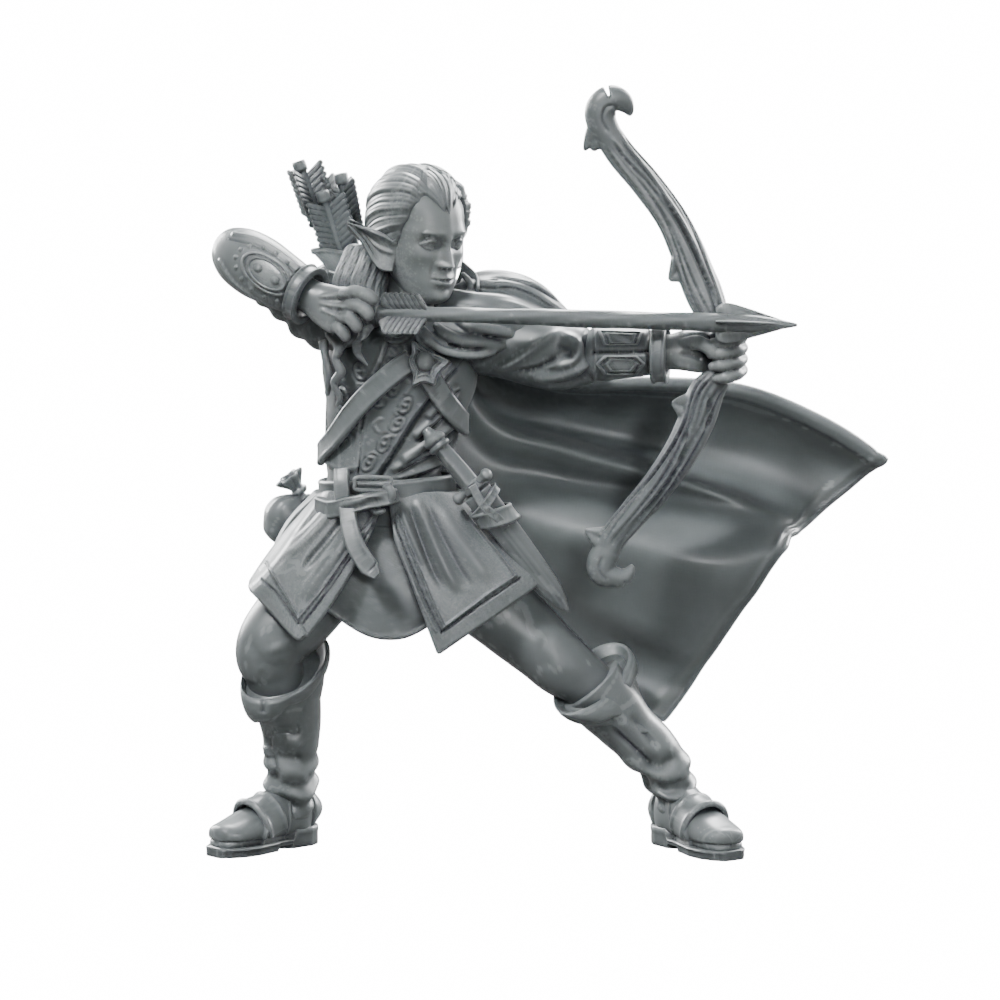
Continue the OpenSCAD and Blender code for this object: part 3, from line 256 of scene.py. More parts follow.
# A form through oval sections: each point of the line is [x, y, z, half width, half depth].
# Ends are rounded over the lengths in ends; swell(u, v) pushes the skin out.
def loft(line, wide, rings=90, around=72, ends=(0.3, 0.3), swell=None, square=1.0):
    fine = smoothLine(line, 400)
    run = np.r_[0, np.cumsum(np.linalg.norm(np.diff(fine[:, :3], axis=0), axis=1))]
    total = run[-1]
    corner = np.linspace(0.04, math.pi / 2, 7)
    s = np.linspace(ends[0], total - ends[1], rings)
    head = ends[0] * (1 - np.cos(corner[:-1])) if ends[0] > 0 else np.zeros(0)
    tail = total - ends[1] * (1 - np.cos(corner[:-1])) if ends[1] > 0 else np.zeros(0)
    s = np.concatenate([head, s, tail[::-1]])
    path = np.column_stack([np.interp(s, run, fine[:, k]) for k in range(5)])
    shrink = np.ones(len(s))
    if ends[0] > 0:
        shrink *= np.sqrt(np.clip(1 - (1 - np.minimum(s / ends[0], 1)) ** 2, 0, 1))
    if ends[1] > 0:
        shrink *= np.sqrt(np.clip(1 - (1 - np.minimum((total - s) / ends[1], 1)) ** 2, 0, 1))
    c = path[:, :3]
    t = unit(np.gradient(c, s, axis=0))
    hint = np.broadcast_to(np.asarray(wide, float), t.shape)
    w = unit(hint - np.sum(t * hint, axis=1)[:, None] * t)
    d = np.cross(t, w)
    v = turns(around)
    cs = np.sign(np.cos(v)) * np.abs(np.cos(v)) ** square
    sn = np.sign(np.sin(v)) * np.abs(np.sin(v)) ** square
    u = s / total
    push = swell(u[:, None], v[None, :]) if swell else np.zeros((len(s), around))
    a = (path[:, 3] * shrink)[:, None] + push * shrink[:, None]
    b = (path[:, 4] * shrink)[:, None] + push * shrink[:, None]
    grid = c[:, None] + (a * cs)[..., None] * w[:, None] + (b * sn)[..., None] * d[:, None]
    return closedTube(grid, c[:1], c[-1:])


# The point numbers round the edge of a grid.
def rimOf(nu, nv):
    ids = np.arange(nu * nv).reshape(nu, nv)
    return np.concatenate([ids[0, :-1], ids[:-1, -1], ids[-1, :0:-1], ids[:0:-1, 0]])


# Cloth from a grid of points, with a rounded edge; shape(u, v) lifts its face along facing.
def sheet(rows, nu, nv, thick, facing, shape=None, thin=None):
    g = smoothGrid(rows, nu, nv)
    n = unit(np.cross(np.gradient(g, axis=0), np.gradient(g, axis=1)))
    n = -n if np.sum(n @ np.asarray(facing, float)) < 0 else n
    u = np.linspace(0, 1, nu)[:, None]
    v = np.linspace(0, 1, nv)[None, :]
    lift = np.zeros((nu, nv)) if shape is None else shape(u, v) + np.zeros((nu, nv))
    g = g + lift[..., None] * n
    n = unit(np.cross(np.gradient(g, axis=0), np.gradient(g, axis=1)))
    n = -n if np.sum(n @ np.asarray(facing, float)) < 0 else n
    wall = np.full((nu, nv), thick) if thin is None else thick * thin(u, v) + np.zeros((nu, nv))
    back = g - wall[..., None] * n
    du = unit(np.gradient(g, axis=0))
    dv = unit(np.gradient(g, axis=1))
    out = np.zeros_like(g)
    out[0] -= du[0]
    out[-1] += du[-1]
    out[:, 0] -= dv[:, 0]
    out[:, -1] += dv[:, -1]
    out = unit(out)
    rim = rimOf(nu, nv)
    flatG, flatB, flatN, flatO = g.reshape(-1, 3), back.reshape(-1, 3), n.reshape(-1, 3), out.reshape(-1,
        3)
    half = wall.reshape(-1)[rim][:, None] / 2
    middle = (flatG[rim] + flatB[rim]) / 2
    loops = [middle + half * (math.cos(q) * flatO[rim] + math.sin(q) * flatN[rim]) for q in (0.8, 0.0,
        -0.8)]
    size = nu * nv
    points = np.vstack([flatG, flatB] + loops)
    quads = gridFaces(nu, nv, False)
    m = len(rim)
    flip = np.sum(flatN * np.cross(dv, du).reshape(-1, 3)) < 0
    steps = [rim] + [2 * size + k * m + np.arange(m) for k in range(3)] + [rim + size]
    bands = [np.column_stack([a, b, np.roll(b, -1), np.roll(a, -1)]) for a,
             b in zip(steps[:-1], steps[1:])]
    bands = [q[:, ::-1] for q in bands] if flip else bands
    face = quads[:, ::-1] if flip else quads
    rear = quads + size if flip else quads[:, ::-1] + size
    return Sculpt(points, np.vstack([face, rear] + bands))


# A flat strap along a line, lying against the outward directions given.
def strap(line, outward, wide, thick, count=70, edge=0.0, closed=False, around=28, taper=None):
    both = smoothLine(np.hstack([np.asarray(line, float), np.asarray(outward, float)]), count, closed)
    p, o = both[:, :3], both[:, 3:]
    if closed:
        t = unit(np.roll(p, -1, axis=0) - np.roll(p, 1, axis=0))
    else:
        t = unit(np.gradient(p, axis=0))
    s = unit(np.cross(t, o))
    o = unit(np.cross(s, t))
    q = turns(around)
    x = np.sign(np.cos(q)) * np.abs(np.cos(q)) ** 0.55
    y = np.sign(np.sin(q)) * np.abs(np.sin(q)) ** 0.45
    share = np.linspace(0, 1, count)
    w = np.full(count, wide / 2) if taper is None else wide / 2 * taper(share)
    h = thick / 2 * (1 + y + 2 * edge * bump(np.abs(x) - 0.78, 0.16) * (y > 0))
    grid = p[:, None] + (w[:, None] * x[None, :])[..., None] * s[:, None] + h[None, :, None] * o[:, None]
    if closed:
        return Sculpt(grid.reshape(-1, 3), gridFaces(count + 1, around, True) % (count * around))
    return closedTube(grid)


# A raised plate inside an outline: heights are [share of the outline, height] from the middle out.
def medal(outline, at, right, upward, heights, thick=0.3, count=120, rings=26):
    shape = smoothLine(np.column_stack([np.asarray(outline, float), np.zeros(len(outline))]), count,
                       True)[:, :2]
    share = np.r_[np.linspace(0.02, 1, rings), 1.0]
    heights = np.asarray(heights, float)
    level = np.interp(share, heights[:, 0], heights[:, 1])
    level[-1] = -thick
    share[-1] = 1.02
    x, y = unit(right), unit(upward)
    out = np.cross(x, y)
    grid = (np.asarray(at, float) + (share[:, None] * shape[:, 0])[..., None] * x
            + (share[:, None] * shape[:, 1])[..., None] * y + level[:, None, None] * out)
    return closedTube(grid, [at + level[0] * out], [at - thick * out])


# A round wire through points; the fourth number of a point is its radius.
def wire(line, rings=40, around=16, flat=1.0, wide=(0, 1, 0.2), ends=0.08):
    line = np.asarray(line, float)
    full = np.column_stack([line[:, :3], line[:, 3], line[:, 3] * flat])
    return loft(full, wide, rings, around, (ends, ends))


def ball(at, r):
    at = np.asarray(at, float)
    r = np.broadcast_to(np.asarray(r, float), 3)
    q = np.linspace(0.001, math.pi - 0.001, 26)
    v = turns(40)
    grid = np.stack([np.outer(np.sin(q), np.cos(v)), np.outer(np.sin(q), np.sin(v)),
                     np.outer(np.cos(q), np.ones(40))], axis=-1) * r + at
    return closedTube(grid, at + [0, 0, r[2]], at - [0, 0, r[2]])


def meshOf(sculpt, name):
    mesh = bpy.data.meshes.new(name)
    q, t = sculpt.quads, sculpt.tris
    mesh.vertices.add(len(sculpt.points))
    mesh.vertices.foreach_set("co", sculpt.points.astype(np.float32).ravel())
    mesh.loops.add(q.size + t.size)
    mesh.loops.foreach_set("vertex_index", np.r_[q.ravel(), t.ravel()].astype(np.int32))
    mesh.polygons.add(len(q) + len(t))
    sizes = np.r_[np.full(len(q), 4), np.full(len(t), 3)]
    mesh.polygons.foreach_set("loop_start", np.r_[0, np.cumsum(sizes)[:-1]].astype(np.int32))
    mesh.update(calc_edges=True)
    return mesh


# Grows several closed forms into one skin, as clay is worked together.
def fuse(parts, grain, soften=4):
    whole = joined(parts)
    obj = bpy.data.objects.new("clay", meshOf(whole, "clay"))
    bpy.context.scene.collection.objects.link(obj)
    remesh = obj.modifiers.new("grow", "REMESH")
    remesh.mode = "VOXEL"
    remesh.voxel_size = grain
    if soften:
        relax = obj.modifiers.new("relax", "SMOOTH")
        relax.factor = 0.5
        relax.iterations = soften
    made = obj.evaluated_get(bpy.context.evaluated_depsgraph_get()).to_mesh()
    points = np.empty(len(made.vertices) * 3, np.float32)
    made.vertices.foreach_get("co", points)
    index = np.empty(len(made.loops), np.int32)
    made.loops.foreach_get("vertex_index", index)
    total = np.empty(len(made.polygons), np.int32)
    made.polygons.foreach_get("loop_total", total)
    start = np.empty(len(made.polygons), np.int32)
    made.polygons.foreach_get("loop_start", start)
    quads = index[start[total == 4][:, None] + np.arange(4)]
    tris = index[start[total == 3][:, None] + np.arange(3)]
    clay = obj.data
    bpy.data.objects.remove(obj)
    bpy.data.meshes.remove(clay)
    return Sculpt(points.reshape(-1, 3).astype(float), quads, tris)


# finishes: one coat of cool grey primer, a little different on each stuff; its colour also carries painted
# shade in the hollows and a painted highlight on sharp edges

coats = {
    "cast_skin": {"tint": (0.19, 0.208, 0.213), "shine": 0.36, "grain": 0.08, "seed": 1.0},
    "cast_hair": {"tint": (0.15, 0.167, 0.172), "shine": 0.38, "grain": 0.1, "seed": 2.0},
    "cast_cloth": {"tint": (0.14, 0.156, 0.161), "shine": 0.4, "grain": 0.1, "seed": 3.0},
    "cast_leather": {"tint": (0.15, 0.167, 0.172), "shine": 0.37, "grain": 0.12, "seed": 4.0},
    "cast_metal": {"tint": (0.17, 0.187, 0.192), "shine": 0.33, "grain": 0.06, "seed": 5.0},
    "cast_wood": {"tint": (0.145, 0.162, 0.167), "shine": 0.38, "grain": 0.1, "seed": 6.0},
    "kit_pin": {"tint": (0.13, 0.144, 0.148), "shine": 0.42, "grain": 0.06, "seed": 7.0},
}
# Painted light in the primer colour: a dark painted shade for hollows and creases, with its strength and
# ambient-occlusion reach, and a pale painted highlight for sharp edges, with its strength.
paintedLight = {"dark": (0.012, 0.016, 0.018), "depth": 0.8, "reach": 0.9, "edge": 0.55,
        "edgeHighlight": (0.12, 0.13, 0.132)}


def link(tree, a, out, b, into):
    tree.links.new(a.outputs[out], b.inputs[into])


def mathNode(tree, kind, x, y=None, clamp=False):
    node = tree.nodes.new("ShaderNodeMath")
    node.operation = kind
    node.use_clamp = clamp
    for k, value in enumerate((x, y)):
        if value is None:
            continue
        if isinstance(value, (int, float)):
            node.inputs[k].default_value = value
        else:
            tree.links.new(value, node.inputs[k])
    return node.outputs[0]


def addNode(tree, kind, **values):
    node = tree.nodes.new("ShaderNode" + kind)
    for name, value in values.items():
        node.inputs[name.replace("_", " ")].default_value = value
    return node


def groupWith(name, takes, gives):
    g = bpy.data.node_groups.new(name, "ShaderNodeTree")
    for way, sockets in (("INPUT", takes), ("OUTPUT", gives)):
        for label, kind in sockets:
            g.interface.new_socket(label, in_out=way, socket_type="NodeSocket" + kind)
    return g, g.nodes.new("NodeGroupInput"), g.nodes.new("NodeGroupOutput")


def mixColour(g, blend):
    mix = addNode(g, "Mix")
    mix.data_type = "RGBA"
    mix.blend_type = blend
    return mix


# Colour of the primer: painted shade darkens the folds, creases and hollows, a painted highlight makes
# sharp edges paler, and the tone is faintly uneven.
def primerAndPaintedLightGroup():
    g, take, give = groupWith("primerAndPaintedLight", (("Tint", "Color"), ("Seed", "Float")),
                              (("Colour", "Color"), ("Cavity", "Float")))
    coords = addNode(g, "TexCoord")
    # painted shade: ambient occlusion darkens the colour where hollows lie in shade
    shade = addNode(g, "AmbientOcclusion", Distance=paintedLight["reach"] * figure["mm"])
    shade.samples = 6
    cavity = mathNode(g, "POWER", shade.outputs["AO"], 1.5)
    geometry = addNode(g, "NewGeometry")
    # painted highlight: sharp convex edges found by pointiness are made paler
    edgeHighlightMask = addNode(g, "MapRange", From_Min=0.5, From_Max=0.6)
    link(g, geometry, "Pointiness", edgeHighlightMask, "Value")
    # painted shade: concave creases found by pointiness are darkened too
    creaseShade = addNode(g, "MapRange", From_Min=0.5, From_Max=0.42)
    link(g, geometry, "Pointiness", creaseShade, "Value")
    cloud = addNode(g, "TexNoise", Scale=420.0, Detail=4.0)
    cloud.noise_dimensions = "4D"
    link(g, coords, "Object", cloud, "Vector")
    link(g, take, "Seed", cloud, "W")
    patch = addNode(g, "MapRange", From_Min=0.3, From_Max=0.7, To_Min=0.9, To_Max=1.1)
    link(g, cloud, "Fac", patch, "Value")
    uneven = mixColour(g, "MULTIPLY")
    uneven.inputs["Factor"].default_value = 1.0
    g.links.new(take.outputs["Tint"], uneven.inputs["A"])
    g.links.new(patch.outputs["Result"], uneven.inputs["B"])
    # how much painted shade goes into the tint
    deep = mathNode(g, "SUBTRACT", 1.0, cavity)
    deep = mathNode(g, "ADD", deep, mathNode(g, "MULTIPLY", creaseShade.outputs["Result"], 0.45))
    deep = mathNode(g, "MULTIPLY", deep, paintedLight["depth"], True)
    paintedShadeMix = mixColour(g, "MIX")
    g.links.new(deep, paintedShadeMix.inputs["Factor"])
    g.links.new(uneven.outputs["Result"], paintedShadeMix.inputs["A"])
    paintedShadeMix.inputs["B"].default_value = (*paintedLight["dark"], 1.0)
    # the painted highlight is added onto sharp edges
    edged = mixColour(g, "ADD")
    g.links.new(mathNode(g, "MULTIPLY", edgeHighlightMask.outputs["Result"], paintedLight["edge"]), edged.inputs["Factor"])
    g.links.new(paintedShadeMix.outputs["Result"], edged.inputs["A"])
    edged.inputs["B"].default_value = (*paintedLight["edgeHighlight"], 1.0)
    g.links.new(edged.outputs["Result"], give.inputs["Colour"])
    g.links.new(cavity, give.inputs["Cavity"])
    return g


# Height of the fine grain that sprayed primer leaves, and how it breaks the shine.
def grainGroup():
    g, take, give = groupWith("sprayGrain", (("Grain", "Float"), ("Seed", "Float"), ("Shine", "Float")),
                              (("Height", "Float"), ("Roughness", "Float")))
    coords = addNode(g, "TexCoord")
    fine = addNode(g, "TexNoise", Scale=5200.0, Detail=2.0)
    fine.noise_dimensions = "4D"
    link(g, coords, "Object", fine, "Vector")
    link(g, take, "Seed", fine, "W")
    broad = addNode(g, "TexNoise", Scale=900.0, Detail=3.0)
    link(g, coords, "Object", broad, "Vector")
    g.links.new(mathNode(g, "MULTIPLY", fine.outputs["Fac"], take.outputs["Grain"]), give.inputs["Height"])
    spread = mathNode(g, "MULTIPLY", mathNode(g, "SUBTRACT", broad.outputs["Fac"], 0.5), 0.22)
    g.links.new(mathNode(g, "ADD", take.outputs["Shine"], spread), give.inputs["Roughness"])
    return g


primer = primerAndPaintedLightGroup()
grain = grainGroup()


def coatOf(slotName):
    coat = coats[slotName]
    m = bpy.data.materials.new(slotName)
    m.use_nodes = True
    tree = m.node_tree
    surface = tree.nodes["Principled BSDF"]
    colour = addNode(tree, "Group")
    colour.node_tree = primer
    colour.inputs["Tint"].default_value = (*coat["tint"], 1.0)
    colour.inputs["Seed"].default_value = coat["seed"]
    height = addNode(tree, "Group")
    height.node_tree = grain
    height.inputs["Grain"].default_value = coat["grain"]
    height.inputs["Seed"].default_value = coat["seed"]
    height.inputs["Shine"].default_value = coat["shine"]
    relief = addNode(tree, "Bump", Strength=0.35, Distance=0.03 * figure["mm"])
    link(tree, colour, "Colour", surface, "Base Color")
    link(tree, height, "Roughness", surface, "Roughness")
    link(tree, height, "Height", relief, "Height")
    link(tree, relief, "Normal", surface, "Normal")
    surface.inputs["Specular IOR Level"].default_value = 0.75
    return m


materials = {name: coatOf(name) for name in coats}


def makePiece(name, parts, slotName):
    whole = joined(parts) if isinstance(parts, list) else parts
    placed = Sculpt((whole.points + shift) * figure["mm"], whole.quads, whole.tris)
    mesh = meshOf(placed, name)
    mesh.polygons.foreach_set("use_smooth", np.ones(len(mesh.polygons), bool))
    mesh.materials.append(materials[slotName])
    mesh.update()
    obj = bpy.data.objects.new(name + "_cast", mesh)
    bpy.context.scene.collection.objects.link(obj)
    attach(obj, "root")
    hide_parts(name)
    return obj


# torso

turn = math.radians(figure["chestTurn"])
chestAcross = np.array([math.cos(turn), -math.sin(turn), 0])
chestFront = np.array([-math.sin(turn), -math.cos(turn), 0])
torsoLine = [
    (-6.15, -0.3, 12.3, 2.55, 1.8), (-6.2, -0.3, 13.6, 2.6, 1.86), (-6.35, -0.3, 15.4, 2.3, 1.64),
    (-6.05, -0.3, 17.2, 2.69, 1.79), (-5.75, -0.3, 19.2, 3.12, 1.92), (-5.6, -0.3, 20.4, 2.9, 1.72),
    (-5.5, -0.3, 21.2, 1.9, 1.32), (-5.45, -0.35, 21.9, 1.25, 1.05),
]


def onTorso(angle, z, lift=0.0):
    line = np.array(torsoLine)
    c = np.array([np.interp(z, line[:, 2], line[:, k]) for k in (0, 1)] + [z])
    a, b = (np.interp(z, line[:, 2], line[:, k]) for k in (3, 4))
    q = math.radians(angle)
    return c + (a + lift) * math.cos(q) * chestAcross + (b + lift) * math.sin(q) * chestFront


def offTorso(angle):
    q = math.radians(angle)
    return math.cos(q) * chestAcross + math.sin(q) * chestFront


jerkin = {
    "seam": [(-6.12, 20.7), (-6.37, 19.97), (-6.67, 19.28), (-6.87, 18.8), (-7.07, 18.1), (-7.17, 17.5),
             (-7.29, 16.5),
             (-7.38, 15.3)],
    "edge": [(-3.5, 19.6), (-4.41, 18.59), (-5.2, 17.51), (-5.89, 16.42), (-6.65, 15.2)],
    "loops": [(-7.98, 18.35, 0.2), (-5.5, 18.05, -0.6), (-7.78, 16.55, 0.1), (-6.34, 16.52, -0.5),
              (-6.95, 15.72, -0.6),
              (-5.82, 17.3, -0.7), (-6.0, 19.95, 0.2), (-7.28, 19.35, 0.3), (-6.62, 18.3, 0.3),
              (-5.95, 18.75, -0.4),
              (-7.9, 17.45, 0.1)],
    "sash": [[(-6.15, 15.43), (-5.11, 16.0), (-4.22, 16.42), (-3.6, 16.9)],
             [(-5.75, 15.85), (-4.71, 16.52), (-3.53, 17.3)],
             [(-5.95, 15.15), (-5.11, 15.4), (-4.0, 15.8)],
             [(-5.2, 16.75), (-4.5, 17.4), (-3.6, 18.2)],
             [(-4.7, 17.55), (-4.1, 18.2), (-3.4, 18.9)]],
}
print("torso")
body = loft(torsoLine, chestAcross, 210, 250, (0.2, 0.5), square=0.93)
for breast, high, wide in (([-7.0, 19.4], 0.1, 0.9), ([-4.9, 19.5], 0.08, 0.8)):
    away = np.linalg.norm(body.points[:, [0, 2]] - breast, axis=1)
    body.rise += high * bump(away, wide) * (body.normals[:, 1] < 0)
body.roughen(2.6, 0.035, 11)
body.settle()
body.stroke(jerkin["seam"], 0.05, -0.13, 0.02)
body.stroke([(x + 0.11, z) for x, z in jerkin["seam"]], 0.05, 0.05, 0.02)
body.stroke([(x - 0.12, z) for x, z in jerkin["seam"]], 0.06, 0.06, 0.02)
body.lap(jerkin["edge"][::-1], 0.16, 0.025, 0.9, 0)
body.stroke([(x - 0.07, z + 0.05) for x, z in jerkin["edge"]], 0.05, 0.07, 0.02)
body.stroke([(x + 0.09, z - 0.05) for x, z in jerkin["edge"]], 0.06, -0.13, 0.02)
for line in jerkin["sash"]:
    body.stroke(line, 0.15, 0.17, 0.12)
    body.stroke([(x + 0.12, z - 0.2) for x, z in line], 0.07, -0.14, 0.12)
# embroidered loops with a bead in each, and the stems between them
for x, z, lean in jerkin["loops"]:
    around = []
    for q in range(0, 360, 45):
        r = math.radians(q)
        a, b = 0.17 * math.cos(r), 0.29 * math.sin(r) * (1.2 if q < 180 else 0.95)
        around.append((x + a * math.cos(lean) - b * math.sin(lean),
                       z + a * math.sin(lean) + b * math.cos(lean)))
    body.stroke(around, 0.045, 0.1, closed=True)
    body.stroke([(x + 1.35 * (a - x), z + 1.35 * (b - z)) for a, b in around], 0.05, -0.05, closed=True)
    body.bead((x - 0.02 * lean, z + 0.05), 0.085, 0.11)
stems = [[(-8.1, 17.9), (-7.75, 17.75), (-7.95, 17.2), (-7.6, 16.95)],
         [(-7.75, 16.1), (-7.5, 15.9), (-7.75, 15.5)],
         [(-6.55, 16.1), (-6.75, 16.2), (-7.05, 16.0)], [(-6.2, 16.9), (-6.0, 16.85), (-5.9, 17.0)],
         [(-5.7, 17.65), (-5.85, 17.8), (-5.75, 17.95)],
         [(-6.75, 18.75), (-6.45, 18.95), (-6.3, 19.45), (-6.05, 19.6)],
         [(-7.45, 18.85), (-7.2, 18.9), (-7.35, 18.3), (-7.5, 17.9)],
         [(-5.5, 18.5), (-5.25, 18.9), (-5.5, 19.2)],
         [(-6.4, 17.6), (-6.7, 17.3), (-6.5, 16.95)], [(-5.9, 20.4), (-5.6, 20.5), (-5.5, 20.1)]]
for line in stems:
    body.stroke(line, 0.045, 0.075, 0.1)
for line in ([(-8.5, 16.9), (-8.0, 16.3), (-7.9, 15.6)], [(-8.2, 15.9), (-7.7, 15.4)],
             [(-5.2, 20.3), (-4.6, 19.6)],
             [(-6.9, 20.4), (-6.5, 20.7), (-5.7, 20.7)]):
    body.stroke(line, 0.09, 0.09, 0.2)
body.settle()
# the jerkin's skirt lifts at the side, its armhole frays, and a lace end hangs at the breast
hipHem = [(178, 16.7, 16.0), (160, 16.7, 15.75), (142, 16.8, 15.55), (124, 16.9, 15.4), (108, 17.0, 15.5)]
sideFlap = sheet([[tuple(onTorso(q, top, 0.0)), tuple(onTorso(q, 0.5 * (top + low), 0.1)),
                   tuple(onTorso(q, low, 0.24))]
                  for q, top, low in hipHem], 60, 40, 0.16, (-0.3, -1, 0), lambda u,
                  v: 0.05 * bump(v - 0.93, 0.05))
armhole = wire([(-8.55, -1.6, 20.9, 0.17), (-8.1, -2.15, 20.4, 0.2), (-8.22, -2.15, 19.9, 0.15),
                (-8.02, -2.2, 19.4, 0.2),
                (-8.3, -2.05, 18.95, 0.14), (-8.08, -2.05, 18.4, 0.12), (-8.2, -1.9, 18.0, 0.06)], 70, 20)
armholeBack = wire([(-8.75, -1.3, 20.6, 0.2), (-8.65, -1.5, 19.9, 0.16), (-8.5, -1.6, 19.2, 0.17),
                    (-8.6, -1.4, 18.4, 0.1)],
                   50, 18)
lace = wire([(-6.72, -2.75, 21.25, 0.1), (-7.05, -2.8, 21.0, 0.2), (-7.33, -2.75, 20.6, 0.2),
             (-7.35, -2.7, 20.2, 0.15),
             (-7.1, -2.65, 19.85, 0.07), (-6.95, -2.6, 19.68, 0.03)], 60, 20, 0.5, (0.6, 0, 1), 0.03)
collarEdge = wire([(-6.3, -2.05, 20.75, 0.09), (-5.9, -2.3, 20.62, 0.12), (-5.45, -2.35, 20.75, 0.13),
                   (-5.1, -2.35, 21.0, 0.11),
                   (-4.75, -2.2, 21.3, 0.08)], 50, 16)
makePiece("torso", [body, sideFlap, armhole, armholeBack, lace, collarEdge], "cast_cloth")

neckForm = [(-5.5, -0.4, 21.0, 1.15, 1.05), (-5.35, -0.6, 22.1, 0.97, 0.97),
            (-5.15, -0.8, 23.6, 0.95, 0.98)]
neck = loft(neckForm, chestAcross, 60, 90, (0, 0))
neck.stroke([(-5.0, -1.7, 23.6), (-5.2, -1.65, 22.4), (-5.4, -1.4, 21.4)], 0.16, 0.12, 0.1)
neck.stroke([(-5.9, -1.5, 23.6), (-5.6, -1.6, 22.5), (-5.5, -1.4, 21.4)], 0.16, 0.1, 0.1)
makePiece("neck", neck.settle(), "cast_skin")


# head: plain calm proportions, eyes at half its height

print("head")
headTurn = math.radians(figure["headTurn"])
nod = math.radians(figure["headPitch"])
level = np.array([math.sin(headTurn), -math.cos(headTurn), 0])
faceDir = math.cos(nod) * level - math.sin(nod) * np.array([0, 0, 1.0])
headUp = math.cos(nod) * np.array([0, 0, 1.0]) + math.sin(nod) * level
headSide = np.cross(faceDir, headUp)
headMiddle = np.array([-5.0, -0.95, 24.75])
head = {"tall": 4.9, "long": 4.15, "wide": 3.42}
headLevels = [
    (-0.5, 0.27, 0.05, 0.05), (-0.485, 0.265, 0.15, 0.16), (-0.44, 0.24, 0.235, 0.25),
    (-0.36, 0.18, 0.315, 0.325),
    (-0.25, 0.11, 0.385, 0.395), (-0.1, 0.04, 0.445, 0.452), (0.08, 0.0, 0.485, 0.488),
    (0.22, -0.02, 0.468, 0.472),
    (0.33, -0.03, 0.41, 0.42), (0.42, -0.03, 0.31, 0.32), (0.475, -0.03, 0.19, 0.2),
    (0.498, -0.03, 0.06, 0.06),
]


def headPoint(f, s, h):
    return headMiddle + f * faceDir + s * headSide + h * headUp


def headSkin(n, m, grow):
    rows = smoothLine([(lv[0] * head["tall"], lv[1] * head["long"], lv[2] * head["long"],
                        lv[3] * head["wide"])
                       for lv in headLevels], n)
    q = turns(m)
    cs = np.sign(np.cos(q)) * np.abs(np.cos(q)) ** 0.94
    sn = np.sign(np.sin(q)) * np.abs(np.sin(q)) ** 0.94
    f = rows[:, 1:2] + (rows[:, 2:3] + grow) * cs
    s = (rows[:, 3:4] + grow) * sn
    h = rows[:, 0:1] * (1 + grow / 2.55) + 0 * cs
    grid = headMiddle + f[..., None] * faceDir + s[..., None] * headSide + h[..., None] * headUp
    return closedTube(grid)


def headLocal(points):
    d = points - headMiddle
    return d @ faceDir, d @ headSide, d @ headUp


faceScale = (head["long"] / 4.3, head["wide"] / 3.5, head["tall"] / 5.1)


def facePoint(f, s, h):
    return headPoint(f * faceScale[0], s * faceScale[1], h * faceScale[2])


def faceRelief(s, h):
    a = np.abs(s) / faceScale[1]
    h = h / faceScale[2]
    out = 0.13 * bump(h - 0.5 - 0.1 * bump(a - 0.9, 0.4), 0.2) * bump(a - 0.62, 0.62)
    out -= 0.3 * np.exp(-((a - 0.66) / 0.42) ** 2 - ((h - 0.06) / 0.27) ** 2)
    out -= 0.1 * np.exp(-((a - 0.25) / 0.13) ** 2 - ((h - 0.1) / 0.25) ** 2)
    ridge = np.interp(h, [-0.98, -0.86, -0.76, -0.45, 0.0, 0.3, 0.5],
                      [0, 0.12, 0.52, 0.42, 0.22, 0.16, 0.05])
    broad = np.interp(h, [-0.9, -0.7, 0.0, 0.4], [0.24, 0.22, 0.14, 0.18])
    out += ridge * bump(a, broad)
    out += 0.2 * np.exp(-((a - 0.25) / 0.13) ** 2 - ((h + 0.76) / 0.13) ** 2)
    out -= 0.1 * np.exp(-((a - 0.14) / 0.07) ** 2 - ((h + 0.9) / 0.06) ** 2)
    out += 0.13 * np.exp(-((a - 1.05) / 0.36) ** 2 - ((h + 0.42) / 0.3) ** 2)
    out -= 0.09 * np.exp(-((a - 1.05) / 0.35) ** 2 - ((h + 1.15) / 0.4) ** 2)
    out -= 0.08 * np.exp(-((a - 0.52) / 0.09) ** 2 - ((h + 1.05) / 0.28) ** 2)
    out += 0.17 * np.exp(-(a / 0.55) ** 2 - ((h + 1.38) / 0.36) ** 2)
    out += 0.12 * np.exp(-(a / 0.4) ** 4 - ((h + 1.27 - 0.03 * bump(a, 0.1)) / 0.075) ** 2)
    out += 0.14 * np.exp(-(a / 0.34) ** 4 - ((h + 1.5) / 0.085) ** 2)
    out -= 0.12 * np.exp(-(a / 0.5) ** 4 - ((h + 1.385) / 0.035) ** 2)
    out -= 0.09 * np.exp(-(a / 0.35) ** 2 - ((h + 1.76) / 0.1) ** 2)
    out += 0.2 * np.exp(-(a / 0.42) ** 2 - ((h + 2.12) / 0.28) ** 2)
    out -= 0.07 * np.exp(-((a - 1.3) / 0.3) ** 2 - ((h - 0.75) / 0.4) ** 2)
    return out


